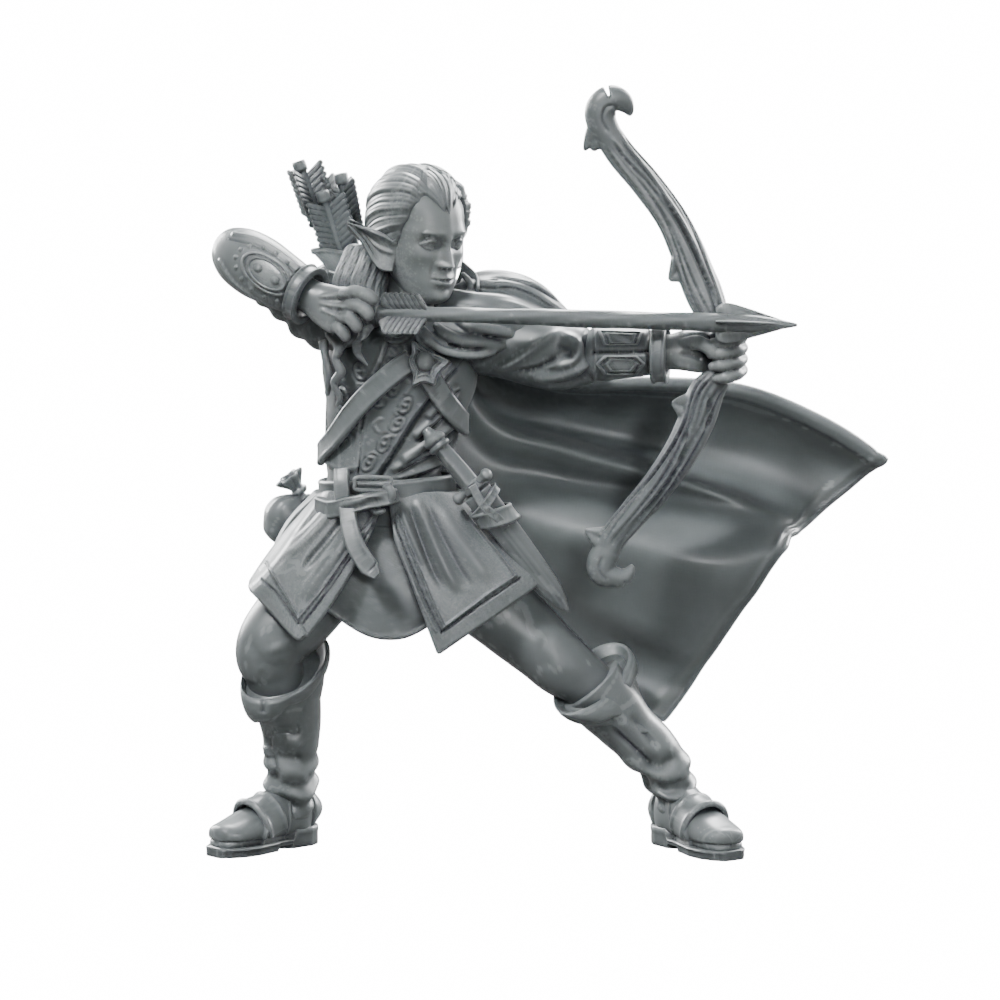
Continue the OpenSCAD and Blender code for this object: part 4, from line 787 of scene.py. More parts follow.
face = headSkin(230, 330, 0)
f, s, h = headLocal(face.points)
ahead = ease((face.normals @ faceDir + 0.15) / 0.6)
face.points = face.points + (faceRelief(s, h) * ahead)[:, None] * faceDir
face.start()
lids = []
for side in (-1, 1):
    eye = facePoint(1.58, side * 0.66, 0.05)
    lids.append(ball(eye, 0.315))
    upper = [(1.66, 0.34, 0.02), (1.88, 0.48, 0.17), (1.92, 0.68, 0.21), (1.83, 0.88, 0.14),
             (1.62, 1.02, 0.0)]
    lower = [(1.68, 0.36, 0.0), (1.86, 0.52, -0.1), (1.88, 0.7, -0.13), (1.79, 0.88, -0.09),
             (1.64, 1.0, 0.0)]
    brow = [(1.96, 0.3, 0.42), (2.03, 0.55, 0.52), (1.95, 0.82, 0.55), (1.74, 1.06, 0.49)]
    crease = [(1.82, 0.4, 0.28), (1.93, 0.65, 0.35), (1.8, 0.95, 0.27)]
    for line, r in ((upper, 0.055), (lower, 0.035), (crease, 0.03)):
        lids.append(wire([(*facePoint(a, side * b, c), r) for a, b, c in line], 30, 10, wide=headUp,
                         ends=0.03))
    lids.append(wire([(*facePoint(a, side * b, c), 0.07) for a, b, c in brow], 30, 12, 0.8, headUp, 0.12))
face = fuse([face] + lids, 0.034, 3)
face.stroke([tuple(facePoint(2.35, x, -1.38 + 0.02 * abs(x))) for x in (-0.46, -0.2, 0, 0.2, 0.46)], 0.06,
            -0.07, 0.1)
makePiece("head", face.settle(), "cast_skin")

hairLine = {"turn": [0, 14, 30, 44, 54, 62, 74, 90, 120, 180],
            "share": [0.225, 0.29, 0.335, 0.3, 0.14, -0.04, -0.14, -0.2, -0.28, -0.32]}
hair = headSkin(230, 420, 0.0)
f, s, h = headLocal(hair.points)
spin = np.degrees(np.abs(np.arctan2(s, f)))
line = np.interp(spin, hairLine["turn"], hairLine["share"]) * head["tall"]
pole = unit(-0.85 * faceDir - 0.42 * headUp)
sideways = np.cross(pole, headSide)
lay = unit(hair.points - headMiddle)
around = np.arctan2(lay @ headSide, lay @ sideways)
wander = 0.35 * ripples(hair.points, 3.5, 21) + 0.1 * ripples(hair.points, 1.2, 22)
lock = 0.5 * np.abs(np.sin(7.5 * around + 1.1 * wander))
lock += 0.32 * np.abs(np.sin(15 * around + 2.2 * wander + 1.0))
lock += 0.18 * np.abs(np.sin(33 * around + 3 * wander))
tufts = 0.1 * np.sin(13 * around + 2 * wander)
cover = ease((h - line - tufts) / 0.3)
grown = ease((h - line) / 1.1)
hair.rise = cover * (0.03 + 0.08 * lock + grown * (0.17 + 0.1 * lock)) - 0.12 * (1 - cover)
hair.settle()
fall = []
for k, (dx, dy, r, lean) in enumerate([(-0.1, 0.0, 0.55, 0.0), (-0.55, -0.25, 0.42, 0.15),
                                       (0.35, 0.2, 0.45, -0.1),
                                       (-0.8, -0.75, 0.3, 0.3), (0.1, -0.35, 0.4, 0.1)]):
    strand = [(-6.35 + dx, 0.3 + dy, 24.3, r, r * 0.8), (-6.55 + dx, 0.45 + dy, 23.5, r * 1.1, r * 0.8),
              (-6.75 + dx - lean * 0.4, 0.6 + dy, 22.6, r, r * 0.7),
              (-6.8 + dx - lean, 0.85 + dy, 21.8, r * 0.8, r * 0.5),
              (-6.7 + dx - lean, 1.1 + dy, 21.0, r * 0.35, r * 0.25)]
    fall.append(loft(strand, headSide, 90, 90, (0.3, 0.4),
                     lambda u,
                     v: 0.06 * np.abs(np.sin(8 * v + 4 * u + k)) + 0.035 * np.abs(np.sin(19 * v + 7 * u))))
behindEar = []
for dx, dy, size, k in ((-0.45, 0.35, 1.0, 1), (-0.9, 0.75, 0.9, 2), (-1.3, 1.15, 0.8, 3)):
    behindEar.append(loft([(-6.0 + dx, -1.25 + dy, 24.3, 0.5 * size, 0.4),
                           (-6.25 + dx, -1.45 + dy, 23.5, 0.66 * size, 0.42),
                           (-6.5 + dx, -1.6 + dy, 22.7, 0.72 * size, 0.42),
                           (-6.42 + dx, -1.75 + dy, 21.9, 0.66 * size, 0.36),
                           (-6.2 + dx, -1.8 + dy, 21.1, 0.42 * size, 0.26)], headSide, 110, 140,
                           (0.3, 0.4),
                          lambda u, v: (0.075 * np.abs(np.sin(7 * v + 3.5 * np.sin(3 * u) + k))
                                        + 0.035 * np.abs(np.sin(17 * v + 6 * np.sin(2.5 * u + k))))))
makePiece("hair", [hair] + fall + behindEar, "cast_hair")

ears = []
for side in (1, -1):
    root = (0.5, side * 1.64, -0.68)
    rows = [[(0.2, -0.1, 0.6), (0.24, -0.1, 0.2), (0.2, -0.08, -0.3), (0.1, -0.06, -0.62)],
            [(-0.12, 0.36, 0.84), (-0.05, 0.34, 0.36), (-0.02, 0.34, -0.2), (-0.06, 0.24, -0.6)],
            [(-0.5, 0.66, 0.94), (-0.4, 0.58, 0.56), (-0.32, 0.56, 0.12), (-0.26, 0.46, -0.36)],
            [(-0.98, 0.84, 0.96), (-0.92, 0.8, 0.76), (-0.84, 0.76, 0.54), (-0.78, 0.72, 0.32)],
            [(-1.5, 0.98, 0.98), (-1.49, 0.97, 0.93), (-1.48, 0.96, 0.88), (-1.46, 0.95, 0.83)]]
    grid = [[tuple(headPoint(root[0] + a, root[1] + side * b, root[2] + c)) for a, b,
             c in r] for r in rows]

    def shell(u, v):
        rim = 0.11 * (bump(v - 0.06, 0.08) + bump(v - 0.94, 0.08))
        bowl = -0.24 * np.exp(-((v - 0.5) / 0.3) ** 2) * np.sin(math.pi * np.clip(u * 1.05 + 0.05, 0,
            1)) ** 0.6
        ridge = 0.12 * bump(v - 0.4 - 0.2 * u, 0.07) * ease((0.75 - u) / 0.3) * ease(u / 0.15)
        return rim + bowl + ridge
    ears.append(sheet(grid, 60, 50, 0.17, side * headSide, shell))
makePiece("ears", ears, "cast_skin")


# mantle: bunched cloth round the shoulders

print("mantle")
mantleRows = [
    [(-4.3, -2.5, 20.7), (-4.1, -2.3, 21.3), (-4.1, -1.9, 21.9), (-4.3, -1.4, 22.3)],
    [(-2.4, -2.7, 20.5), (-2.6, -2.3, 21.5), (-3.1, -1.8, 22.2), (-3.8, -1.2, 22.6)],
    [(-0.6, -1.9, 20.9), (-0.9, -1.5, 22.0), (-1.9, -1.0, 22.85), (-3.2, -0.6, 22.9)],
    [(1.25, -0.5, 21.3), (0.1, -0.2, 22.45), (-1.4, 0.1, 23.15), (-3.1, 0.2, 23.0)],
    [(0.9, 1.3, 20.3), (-0.5, 1.2, 21.8), (-1.9, 1.0, 22.8), (-3.4, 0.9, 22.8)],
    [(-3.1, 2.5, 19.8), (-3.3, 2.2, 21.1), (-3.8, 1.8, 22.1), (-4.2, 1.3, 22.4)],
    [(-6.0, 2.6, 19.8), (-5.8, 2.3, 21.0), (-5.6, 1.9, 21.9), (-5.4, 1.5, 22.2)],
    [(-8.4, 2.0, 20.0), (-7.9, 1.8, 21.1), (-7.3, 1.5, 21.8), (-6.7, 1.2, 22.1)],
    [(-8.95, 0.1, 20.6), (-8.4, 0.1, 21.4), (-7.7, 0.0, 21.9), (-6.95, -0.1, 22.1)],
    [(-8.2, -1.9, 20.3), (-7.8, -1.7, 20.9), (-7.3, -1.5, 21.5), (-6.75, -1.3, 21.8)],
]


def mantleFolds(u, v):
    flow = u * 9 + 1.6 * v
    return (0.16 * np.sin(4.4 * flow) * ease(v / 0.1 + 0.3) + 0.07 * np.sin(9.1 * flow + 2 * v)
            + 0.05 * np.sin(15 * v + 5 * u))


mantle = sheet(mantleRows, 230, 70, 0.42, (0, 0, 1), mantleFolds)
rolls = [
    [(-5.0, -2.35, 21.45, 0.1), (-4.75, -2.65, 21.0, 0.22), (-4.3, -2.8, 20.55, 0.24),
     (-3.7, -2.85, 20.25, 0.22),
     (-2.75, -2.8, 20.12, 0.2), (-1.9, -2.6, 20.2, 0.1)],
    [(-4.35, -2.5, 21.35, 0.14), (-3.9, -2.75, 20.95, 0.24), (-3.3, -2.8, 20.7, 0.24),
     (-2.7, -2.75, 20.62, 0.24),
     (-2.0, -2.6, 20.5, 0.18), (-1.4, -2.3, 20.4, 0.08)],
    [(-4.95, -2.3, 21.4, 0.12), (-5.0, -2.5, 20.95, 0.16), (-4.75, -2.6, 20.5, 0.16),
     (-4.3, -2.6, 20.1, 0.1)],
    [(-3.5, -2.3, 21.5, 0.14), (-2.9, -2.55, 21.2, 0.22), (-2.2, -2.5, 21.1, 0.24),
     (-1.5, -2.3, 20.95, 0.2),
     (-0.9, -2.0, 20.7, 0.1)],
    [(-3.0, -1.6, 22.2, 0.14), (-2.2, -1.8, 22.1, 0.24), (-1.2, -1.7, 21.9, 0.26),
     (-0.2, -1.4, 21.5, 0.22),
     (0.7, -1.0, 21.0, 0.12)],
    [(-2.9, -0.9, 22.75, 0.14), (-1.9, -0.9, 22.8, 0.22), (-0.8, -0.7, 22.5, 0.24), (0.3, -0.5, 21.9, 0.2),
     (1.15, -0.3, 21.4, 0.1)],
    [(-3.3, -0.9, 23.25, 0.1), (-2.95, -1.05, 22.85, 0.16), (-2.9, -1.2, 22.5, 0.18),
     (-3.1, -1.5, 22.2, 0.14)],
]
cloth = fuse([mantle] + [wire(r, 70, 20, 0.75, (0, 0.5, 1)) for r in rolls], 0.062, 3)
for line in ([(-2.4, 22.95), (-1.5, 23.0), (-0.6, 22.75), (0.4, 22.2), (1.2, 21.6)],
             [(-2.0, 22.6), (-1.2, 22.6), (-0.4, 22.3), (0.5, 21.7)],
             [(-4.5, 20.9), (-3.9, 20.5), (-3.1, 20.35), (-2.2, 20.35)]):
    cloth.stroke(line, 0.05, -0.1, 0.15)
standing = sheet([[(-3.55, -0.4, 22.7), (-3.35, -0.35, 23.2), (-3.25, -0.3, 23.6)],
                  [(-3.1, -0.8, 22.5), (-2.85, -0.75, 22.95), (-2.75, -0.7, 23.15)],
                  [(-2.9, -1.3, 22.2), (-2.75, -1.3, 22.5), (-2.7, -1.3, 22.7)]], 40, 40, 0.14, (1, -1, 0))
makePiece("cowl", [cloth.settle(), standing], "cast_cloth")


# skirt

print("skirt")


def tunicRow(q):
    r = math.radians(q)
    c, s = math.cos(r), math.sin(r)
    deep = 0.4 if s > 0 else 0.7

    def at(wide, depth, z):
        return (-6.15 + (2.6 + wide) * math.copysign(abs(c) ** 0.8, c),
                -0.1 - (1.9 + depth) * math.copysign(abs(s) ** deep, s), z)
    forward = 1 if s > 0 else 0
    top = tuple(onTorso(q, 13.2, 0.02))
    side = c * c
    wide = 1.0 if c > 0 else 0.75
    return [top, at(0.35 + wide * side, 0.05 + 0.45 * forward, 12.2),
            at(0.35 + 1.5 * side, 0.05 + 0.72 * forward, 10.6 + side),
            at(0.3 + 1.75 * side, 0.05 + 0.66 * forward, 9.25 - 0.35 + 2.9 * side)]


apron = sheet([tunicRow(q) for q in range(-12, 373, 12)], 260, 90, 0.22, (0, 0, 0.001),
              lambda u, v: 0.05 * v * np.sin(u * 2 * math.pi * 9) + 0.03 * bump(v - 0.985, 0.02))
apron.stroke([(-8.9, 9.05), (-7.5, 8.78), (-6.2, 8.72), (-4.8, 8.8)], 0.1, 0.05, 0.1)
apron.stroke([(-6.6, 11.3), (-7.3, 10.2), (-8.3, 9.5)], 0.45, -0.1, 0.2)
apron.stroke([(-6.0, 11.4), (-5.4, 10.3), (-4.8, 9.4)], 0.45, 0.08, 0.2)
makePiece("under_tunic", apron.settle(), "cast_cloth")

flapRight = [
    [(-9.05, 0.2, 14.3), (-9.7, -0.2, 13.6), (-10.5, -0.3, 12.7), (-11.2, -0.7, 11.8),
     (-11.75, -1.0, 11.0)],
    [(-8.95, -1.1, 14.5), (-9.7, -1.9, 13.4), (-10.4, -2.5, 12.3), (-11.1, -2.8, 11.4),
     (-11.6, -2.6, 10.85)],
    [(-8.45, -1.95, 14.6), (-9.2, -2.6, 13.2), (-9.9, -3.05, 11.9), (-10.5, -3.3, 10.7),
     (-10.75, -3.35, 10.1)],
    [(-7.6, -2.3, 14.5), (-8.2, -2.95, 13.0), (-8.9, -3.3, 11.3), (-9.5, -3.55, 9.8), (-9.75, -3.65, 9.1)],
    [(-6.5, -2.4, 14.3), (-6.95, -2.95, 13.1), (-7.7, -3.35, 11.6), (-8.6, -3.6, 10.2),
     (-9.35, -3.7, 9.2)],
]
flapLeft = [
    [(-6.05, -2.45, 14.3), (-5.75, -3.0, 12.8), (-5.15, -3.35, 11.2), (-4.6, -3.5, 9.7),
     (-4.15, -3.55, 8.5)],
    [(-5.2, -2.45, 14.5), (-4.7, -3.0, 12.9), (-4.1, -3.35, 11.4), (-3.6, -3.5, 10.1), (-3.2, -3.5, 9.15)],
    [(-4.4, -2.3, 14.6), (-3.6, -2.9, 13.2), (-2.7, -3.2, 12.0), (-2.0, -3.3, 10.9), (-1.6, -3.2, 10.2)],
    [(-3.7, -1.9, 14.6), (-2.7, -2.35, 13.6), (-1.7, -2.7, 12.6), (-0.8, -2.8, 11.7), (-0.3, -2.7, 11.1)],
    [(-3.2, -1.1, 14.6), (-2.3, -1.5, 13.7), (-1.4, -1.7, 12.8), (-0.6, -1.8, 12.0), (-0.1, -1.7, 11.4)],
]
trim = {"lineWide": 0.045, "lineHigh": 0.09}


def trimmed(flap, inner):
    for line, high in inner:
        flap.stroke(line, trim["lineWide"], trim["lineHigh"] * high, 0)
    return flap


flapR = sheet(flapRight, 230, 230, 0.26, (0, -1, 0),
              lambda u, v: 0.1 * np.sin(u * 2 * math.pi * 2.4 + 0.4) * (0.35 + 0.5 * v) * ease(1.2 - v))
flapR.strokes([([(-7.9, 14.6), (-8.72, 13.5), (-9.6, 12.6), (-10.3, 12.0)], 0.18, 0.14),
                         ([(-7.3, 13.6), (-8.24, 12.2), (-9.1, 11.1), (-9.5, 10.4)], 0.22, 0.14),
                         ([(-7.5, 14.2), (-8.5, 12.9), (-9.6, 11.6)], 0.14, -0.16),
                         ([(-8.7, 14.3), (-9.4, 13.5), (-10.1, 12.9)], 0.12, -0.12),
                         ([(-6.9, 13.7), (-7.5, 12.7), (-8.3, 11.5), (-8.9, 10.5)], 0.12, -0.1)])
flapR.settle()
flapR.lap([(-11.45, 11.35), (-11.03, 11.75), (-10.45, 11.0), (-9.62, 9.72)][::-1], -0.07, 0.02, 3.0, 0)
trimmed(flapR, [([(-11.35, 11.5), (-10.95, 11.78), (-10.4, 11.02), (-9.66, 9.8)], 1.2),
                ([(-9.66, 9.8), (-8.9, 10.75), (-7.85, 12.28), (-6.6, 13.95)], 1.2),
                ([(-9.48, 9.62), (-8.7, 10.65), (-7.6, 12.2), (-6.5, 13.7)], -1.3),
                ([(-11.2, 11.3), (-10.5, 10.72), (-9.68, 9.6)], -1.3)])
makePiece("skirt_flap_right", flapR.settle(), "cast_cloth")

flapL = sheet(flapLeft, 250, 230, 0.26, (0, -1, 0),
              lambda u, v: 0.07 * np.sin(u * 2 * math.pi * 2.1 + 1.2) * (0.3 + 0.5 * v) * ease(1.25 - v))
flapL.strokes([([(-5.09, 14.5), (-4.55, 13.2), (-3.95, 11.9), (-3.3, 10.7)], 0.2, 0.22),
                         ([(-5.4, 14.4), (-4.95, 13.1), (-4.4, 11.7), (-3.9, 10.8)], 0.13, -0.18),
                         ([(-4.75, 14.4), (-4.1, 13.1), (-3.4, 11.8), (-2.8, 10.9)], 0.14, -0.13),
                         ([(-4.1, 14.4), (-3.5, 13.2), (-2.7, 12.0), (-2.0, 11.1)], 0.28, 0.1),
                         ([(-5.75, 14.2), (-5.2, 12.9), (-4.7, 11.8)], 0.13, 0.14)])
flapL.settle()
trimmed(flapL, [([(-5.8, 13.8), (-5.1, 12.1), (-4.45, 10.55), (-3.95, 9.48)], 1.3),
                ([(-3.95, 9.48), (-3.1, 10.1), (-2.1, 10.85), (-1.18, 11.42)], 1.3),
                ([(-1.18, 11.42), (-1.8, 12.25), (-2.5, 13.05), (-3.2, 13.9)], 1.2),
                ([(-5.98, 13.7), (-5.3, 12.0), (-4.65, 10.45), (-4.05, 9.25)], -1.3),
                ([(-4.05, 9.25), (-3.1, 9.92), (-2.0, 10.68), (-0.98, 11.34)], -1.3),
                ([(-6.0, 13.2), (-5.45, 11.9), (-4.85, 10.5), (-4.28, 9.3)], 0.9)])
makePiece("skirt_flap_left", flapL.settle(), "cast_cloth")

backRows = [
    [(-2.75, -0.6, 14.5), (-1.9, 0.0, 12.9), (-1.0, 0.7, 11.6), (-0.5, 1.0, 10.6)],
    [(-3.0, 0.8, 14.4), (-2.3, 1.4, 12.9), (-1.6, 1.9, 11.3), (-1.1, 2.2, 10.2)],
    [(-4.1, 1.9, 14.3), (-3.5, 2.5, 12.6), (-3.0, 3.0, 10.9), (-2.7, 3.15, 9.6)],
    [(-6.2, 2.2, 14.2), (-6.3, 2.9, 12.5), (-6.4, 3.35, 10.7), (-6.5, 3.5, 9.3)],
    [(-8.2, 1.9, 14.2), (-8.8, 2.35, 12.7), (-9.5, 2.6, 11.0), (-9.8, 2.6, 9.9)],
    [(-9.2, 0.8, 14.4), (-10.3, 0.8, 13.2), (-11.0, 0.9, 11.9), (-11.4, 1.0, 10.8)],
    [(-9.1, -0.4, 14.4), (-10.1, -0.2, 13.4), (-10.75, -0.1, 12.3), (-11.2, -0.2, 11.2)],
]
backSkirt = sheet(backRows, 240, 120, 0.28, (0, 1, 0),
                  lambda u,
                  v: 0.13 * np.sin(u * 2 * math.pi * 5) * (0.3 + 0.7 * v) + 0.05 * bump(v - 0.94, 0.02))
makePiece("skirt_back", backSkirt, "cast_cloth")


# belts

print("belts")
leather = {"beltWide": 0.95, "thick": 0.3, "strapWide": 0.88}
beltPath, beltOut = [], []
for q in range(0, 360, 12):
    c = math.cos(math.radians(q))
    beltPath.append(onTorso(q, 14.62 + 0.15 * c, 0.12 - 0.1 * (c < -0.4)))
    beltOut.append(offTorso(q))
belt = strap(beltPath, beltOut, leather["beltWide"], leather["thick"], 220, 0.12, True, 36)
belt.stroke([(-6.0, 15.05), (-5.1, 15.15), (-4.1, 15.35)], 0.04, -0.05, 0)
belt.stroke([(-6.0, 14.5), (-5.1, 14.62), (-4.1, 14.85)], 0.04, -0.05, 0)
belt.settle()
overPath = [(-8.75, -1.7, 14.05), (-8.3, -2.35, 14.0), (-7.7, -2.75, 14.18), (-7.0, -2.9, 14.38),
            (-6.3, -2.9, 14.5),
            (-5.95, -2.7, 14.6)]
over = strap(overPath, [(-0.8, -0.6, 0), (-0.5, -0.9, 0), (-0.25, -1, 0), (-0.05, -1, 0), (0.1, -1, 0),
                        (0.5, -0.8, 0)],
             0.8, 0.42, 120, 0.1, False, 36, lambda s: 1 - 0.28 * s)
over.stroke([(-8.3, 14.15), (-7.6, 14.35), (-6.8, 14.6), (-6.2, 14.6)], 0.06, 0.11, 0.2)
over.stroke([(-8.2, 13.95), (-7.4, 14.12), (-6.6, 14.45), (-6.1, 14.4)], 0.05, -0.1, 0.2)
over.stroke([(-8.1, 14.35), (-7.5, 14.55), (-6.9, 14.72)], 0.05, -0.08, 0.2)
upright = strap([(-7.95, -2.35, 15.5), (-7.95, -2.62, 15.0), (-7.9, -2.72, 14.4), (-7.8, -2.75, 14.0)],
                [(-0.2, -1, 0)] * 4, 0.62, 0.28, 60, 0.12)
knot = wire([(-6.35, -2.95, 14.95, 0.12), (-6.1, -3.12, 14.88, 0.2), (-6.02, -3.14, 14.6, 0.22),
             (-6.15, -3.1, 14.3, 0.15)],
            50, 20, 0.8)
loose = wire([(-6.9, -2.95, 14.1, 0.08), (-6.6, -3.1, 13.95, 0.12), (-6.25, -3.15, 14.05, 0.1)], 30, 16)
makePiece("belt", [belt, over.settle(), upright, knot, loose], "cast_leather")

buckleFrame = [(-7.4, -2.85, 15.28), (-6.75, -2.92, 15.33), (-6.08, -2.88, 15.28), (-6.04, -2.88, 15.05),
               (-6.08, -2.9, 14.84),
          (-6.75, -2.94, 14.8), (-7.4, -2.87, 14.84), (-7.44, -2.85, 15.05)]
ringLine = smoothLine(buckleFrame, 90, True)
buckle = strap(ringLine, [(-0.1, -1, 0)] * len(ringLine), 0.14, 0.2, 180, 0, True, 16)
prong = wire([(-7.35, -2.98, 15.06, 0.06), (-6.7, -3.06, 15.05, 0.06), (-6.1, -3.02, 14.98, 0.05)], 30, 12)
makePiece("belt_buckle", [buckle, prong], "cast_metal")

tail = strap([(-7.78, -2.75, 14.3), (-7.65, -3.15, 13.5), (-7.45, -3.5, 12.8), (-7.05, -3.72, 12.1),
              (-6.55, -3.85, 11.5)],
             [(-0.1, -1, 0.15)] * 5, 0.78, 0.26, 120, 0.1, False, 32,
             lambda s: np.sqrt(np.clip((1.02 - s) / 0.16, 0, 1)) * (0.85 + 0.15 * s))
tail.stroke([(-7.62, 13.7), (-7.4, 12.9), (-7.0, 12.25)], 0.05, -0.08, 0.1)
tail.stroke([(-7.1, 12.0), (-6.82, 11.78), (-6.6, 12.05)], 0.04, -0.08, 0)
makePiece("belt_tail", tail.settle(), "cast_leather")


def strapOnTorso(track, wide, thick, count, lift=0.1):
    full = smoothLine([(a / 10, z, 0) for a, z in track], 24)
    return strap([tuple(onTorso(10 * a, z, lift)) for a, z, _ in full],
                 [tuple(offTorso(10 * a)) for a, z, _ in full],
                 wide, thick, count, 0.1, False, 32)


upperRun = strapOnTorso([(172, 15.9), (150, 16.25), (132, 16.8), (110, 18.0), (88, 19.3), (74, 19.9)],
                        leather["strapWide"],
                       0.3, 180)
upperRun.roughen(1.6, 0.015, 31)
makePiece("baldric_front", upperRun.settle(), "cast_leather")
lowerRun = strapOnTorso([(64, 19.4), (52, 18.7), (40, 18.1), (24, 17.6), (6, 17.3), (-12, 17.2)], 0.92,
                        0.3, 140)
lowerRun.roughen(1.6, 0.015, 32)
makePiece("baldric_side", lowerRun.settle(), "cast_leather")

pin = np.array([-4.72, -2.72, 19.86])
pinOut = unit([-0.05, -1, 0.12])
pinRight = unit(np.array([1.0, 0, 0]) - pinOut[0] * pinOut)
pinUp = np.cross(pinOut, pinRight)
shieldShape = [(-0.47, 0.78), (-0.1, 0.56), (0.18, 0.34), (0.58, 0.2), (1.0, -0.02), (0.72, -0.3),
               (0.5, -0.56),
               (0.38, -0.92), (0.08, -0.84), (-0.18, -0.86), (-0.46, -0.98), (-0.44, -0.55),
               (-0.62, -0.02), (-0.5, 0.34)]
brooch = medal(shieldShape, pin, pinRight, pinUp, [(0, 0.02), (0.5, 0.02), (0.62, 0.16), (0.72, 0.1),
                                                   (0.82, 0.12),
                                                   (0.93, 0.2), (1.0, 0.12)], 0.35, 220, 40)
makePiece("brooch", brooch, "cast_metal")
stone = ball(pin + 0.02 * pinOut + 0.02 * pinRight, (0.36, 0.3, 0.42))
makePiece("brooch_stone", stone, "cast_metal")


# legs and boots

print("legs")
legs = {
    "right": [(-7.7, 0.1, 13.2, 1.4, 1.4), (-8.5, -0.35, 11.6, 1.75, 1.65), (-9.7, -1.0, 9.9, 1.62, 1.52),
              (-10.7, -1.45, 8.75, 1.42, 1.36), (-10.92, -1.42, 8.0, 1.36, 1.26),
              (-10.8, -1.2, 7.3, 1.16, 1.12),
              (-10.6, -0.85, 6.2, 1.12, 1.08), (-10.5, -0.6, 5.6, 1.05, 1.05)],
    "left": [(-4.6, 0.0, 13.2, 1.4, 1.4), (-3.3, -0.3, 11.2, 1.75, 1.68), (-1.5, -0.6, 9.5, 1.55, 1.46),
             (-0.1, -0.78, 8.3, 1.34, 1.32), (0.75, -0.78, 7.55, 1.28, 1.22), (1.5, -0.6, 6.9, 1.12, 1.1),
             (2.3, -0.42, 6.2, 1.08, 1.05), (2.9, -0.25, 5.6, 1.0, 1.0)],
}
creases = {
    "right": [([(-9.3, 10.6), (-10.2, 9.6), (-10.7, 9.0)], 0.3, 0.08),
              ([(-11.9, 8.9), (-11.3, 8.2), (-11.3, 7.6)], 0.2, -0.12),
              ([(-10.1, 8.8), (-9.8, 8.2), (-10.0, 7.5)], 0.18, -0.12),
              ([(-11.2, 8.0), (-10.6, 7.72), (-10.1, 7.95)], 0.16, -0.08),
              ([(-10.7, 8.7), (-10.6, 8.3)], 0.35, 0.1),
              ([(-11.3, 7.6), (-10.9, 7.3)], 0.12, -0.08),
              ([(-9.0, 9.5), (-9.3, 8.8), (-9.4, 8.2)], 0.25, 0.08)],
    "left": [([(-2.6, 9.6), (-1.2, 8.9), (-0.2, 8.4)], 0.4, 0.08),
             ([(0.3, 9.2), (-0.05, 8.3), (0.15, 7.4)], 0.2, -0.12),
             ([(0.2, 7.9), (0.9, 7.6), (1.4, 7.9)], 0.3, 0.1),
             ([(-1.5, 7.9), (-0.5, 7.0), (0.2, 6.7)], 0.3, 0.06)],
}
legAcross = (1, 0.2, 0)
for side, seed in (("right", 41), ("left", 42)):
    thigh = loft(legs[side], legAcross, 130, 150, (0.4, 0.3))
    thigh.roughen(3.6, 0.035, seed)
    thigh.settle()
    thigh.strokes(creases[side], 0.25, 1.25, 0.55)
    makePiece("leg_" + side, thigh.settle(), "cast_cloth")

boots = {
    "right": {"heel": (-9.45, 1.35), "toe": (-3.75, -3.35), "notch": (-11.1, 5.7), "seed": 51,
              "shaft": [(-10.34, -0.8, 6.7, 1.4, 1.34), (-10.24, -0.6, 5.8, 1.3, 1.26),
                        (-10.18, -0.32, 4.7, 1.16, 1.12),
                        (-10.2, 0.0, 3.6, 1.08, 1.05), (-10.14, 0.28, 2.7, 0.96, 0.96),
                        (-10.15, 0.4, 1.9, 0.84, 0.88),
                        (-10.15, 0.45, 1.2, 0.7, 0.78)],
              "rim": [(-10.38, -1.05, 7.55), (1.6, 0.12, 0.25), (0.38, 1.5, 1.1)],
              "marks": [([(-10.9, 5.0), (-10.2, 5.05), (-9.7, 4.8)], 0.14, -0.18),
                        ([(-10.9, 4.2), (-10.4, 3.9), (-9.6, 3.75)], 0.14, -0.16),
                        ([(-11.0, 5.3), (-11.05, 4.4), (-10.8, 3.4), (-10.75, 2.7)], 0.09, -0.2),
                        ([(-10.7, 3.1), (-10.0, 2.9), (-9.4, 3.1)], 0.13, 0.16),
                        ([(-10.5, 4.6), (-9.9, 4.5), (-9.6, 4.3)], 0.16, 0.1),
                        ([(-11.2, 4.3), (-11.25, 3.8)], 0.2, 0.16)]},
    "left": {"heel": (4.8, 1.5), "toe": (2.4, -3.7), "notch": (3.2, 5.75), "seed": 61,
             "shaft": [(1.85, -0.5, 6.75, 1.4, 1.34), (2.45, -0.38, 6.05, 1.34, 1.28),
                       (3.35, -0.12, 5.0, 1.18, 1.14),
                       (4.3, 0.1, 4.0, 1.08, 1.02), (5.0, 0.28, 3.1, 0.96, 0.94),
                       (5.28, 0.42, 2.2, 0.84, 0.88),
                       (5.35, 0.5, 1.3, 0.7, 0.78)],
             "rim": [(1.9, -0.55, 7.02), (1.4, 0.15, 0.48), (0.42, 1.5, 1.05)],
             "marks": [([(2.5, 5.3), (3.3, 4.5), (4.0, 3.8), (4.5, 3.3)], 0.06, -0.18),
                       ([(2.9, 5.6), (3.6, 4.9), (4.3, 4.0)], 0.12, 0.1),
                       ([(3.4, 5.7), (4.0, 4.9), (4.6, 4.2)], 0.08, -0.12),
                       ([(3.9, 3.6), (4.7, 3.4), (5.3, 3.9)], 0.13, -0.2),
                       ([(4.1, 3.1), (5.0, 2.9), (5.9, 3.2)], 0.12, 0.15),
                       ([(4.4, 2.6), (5.2, 2.4), (6.0, 2.7)], 0.11, -0.15),
                       ([(2.2, 4.9), (3.2, 3.9), (4.0, 3.4)], 0.16, 0.1)]},
}
boot = {"long": 5.0, "wide": 2.1, "sole": 0.35}


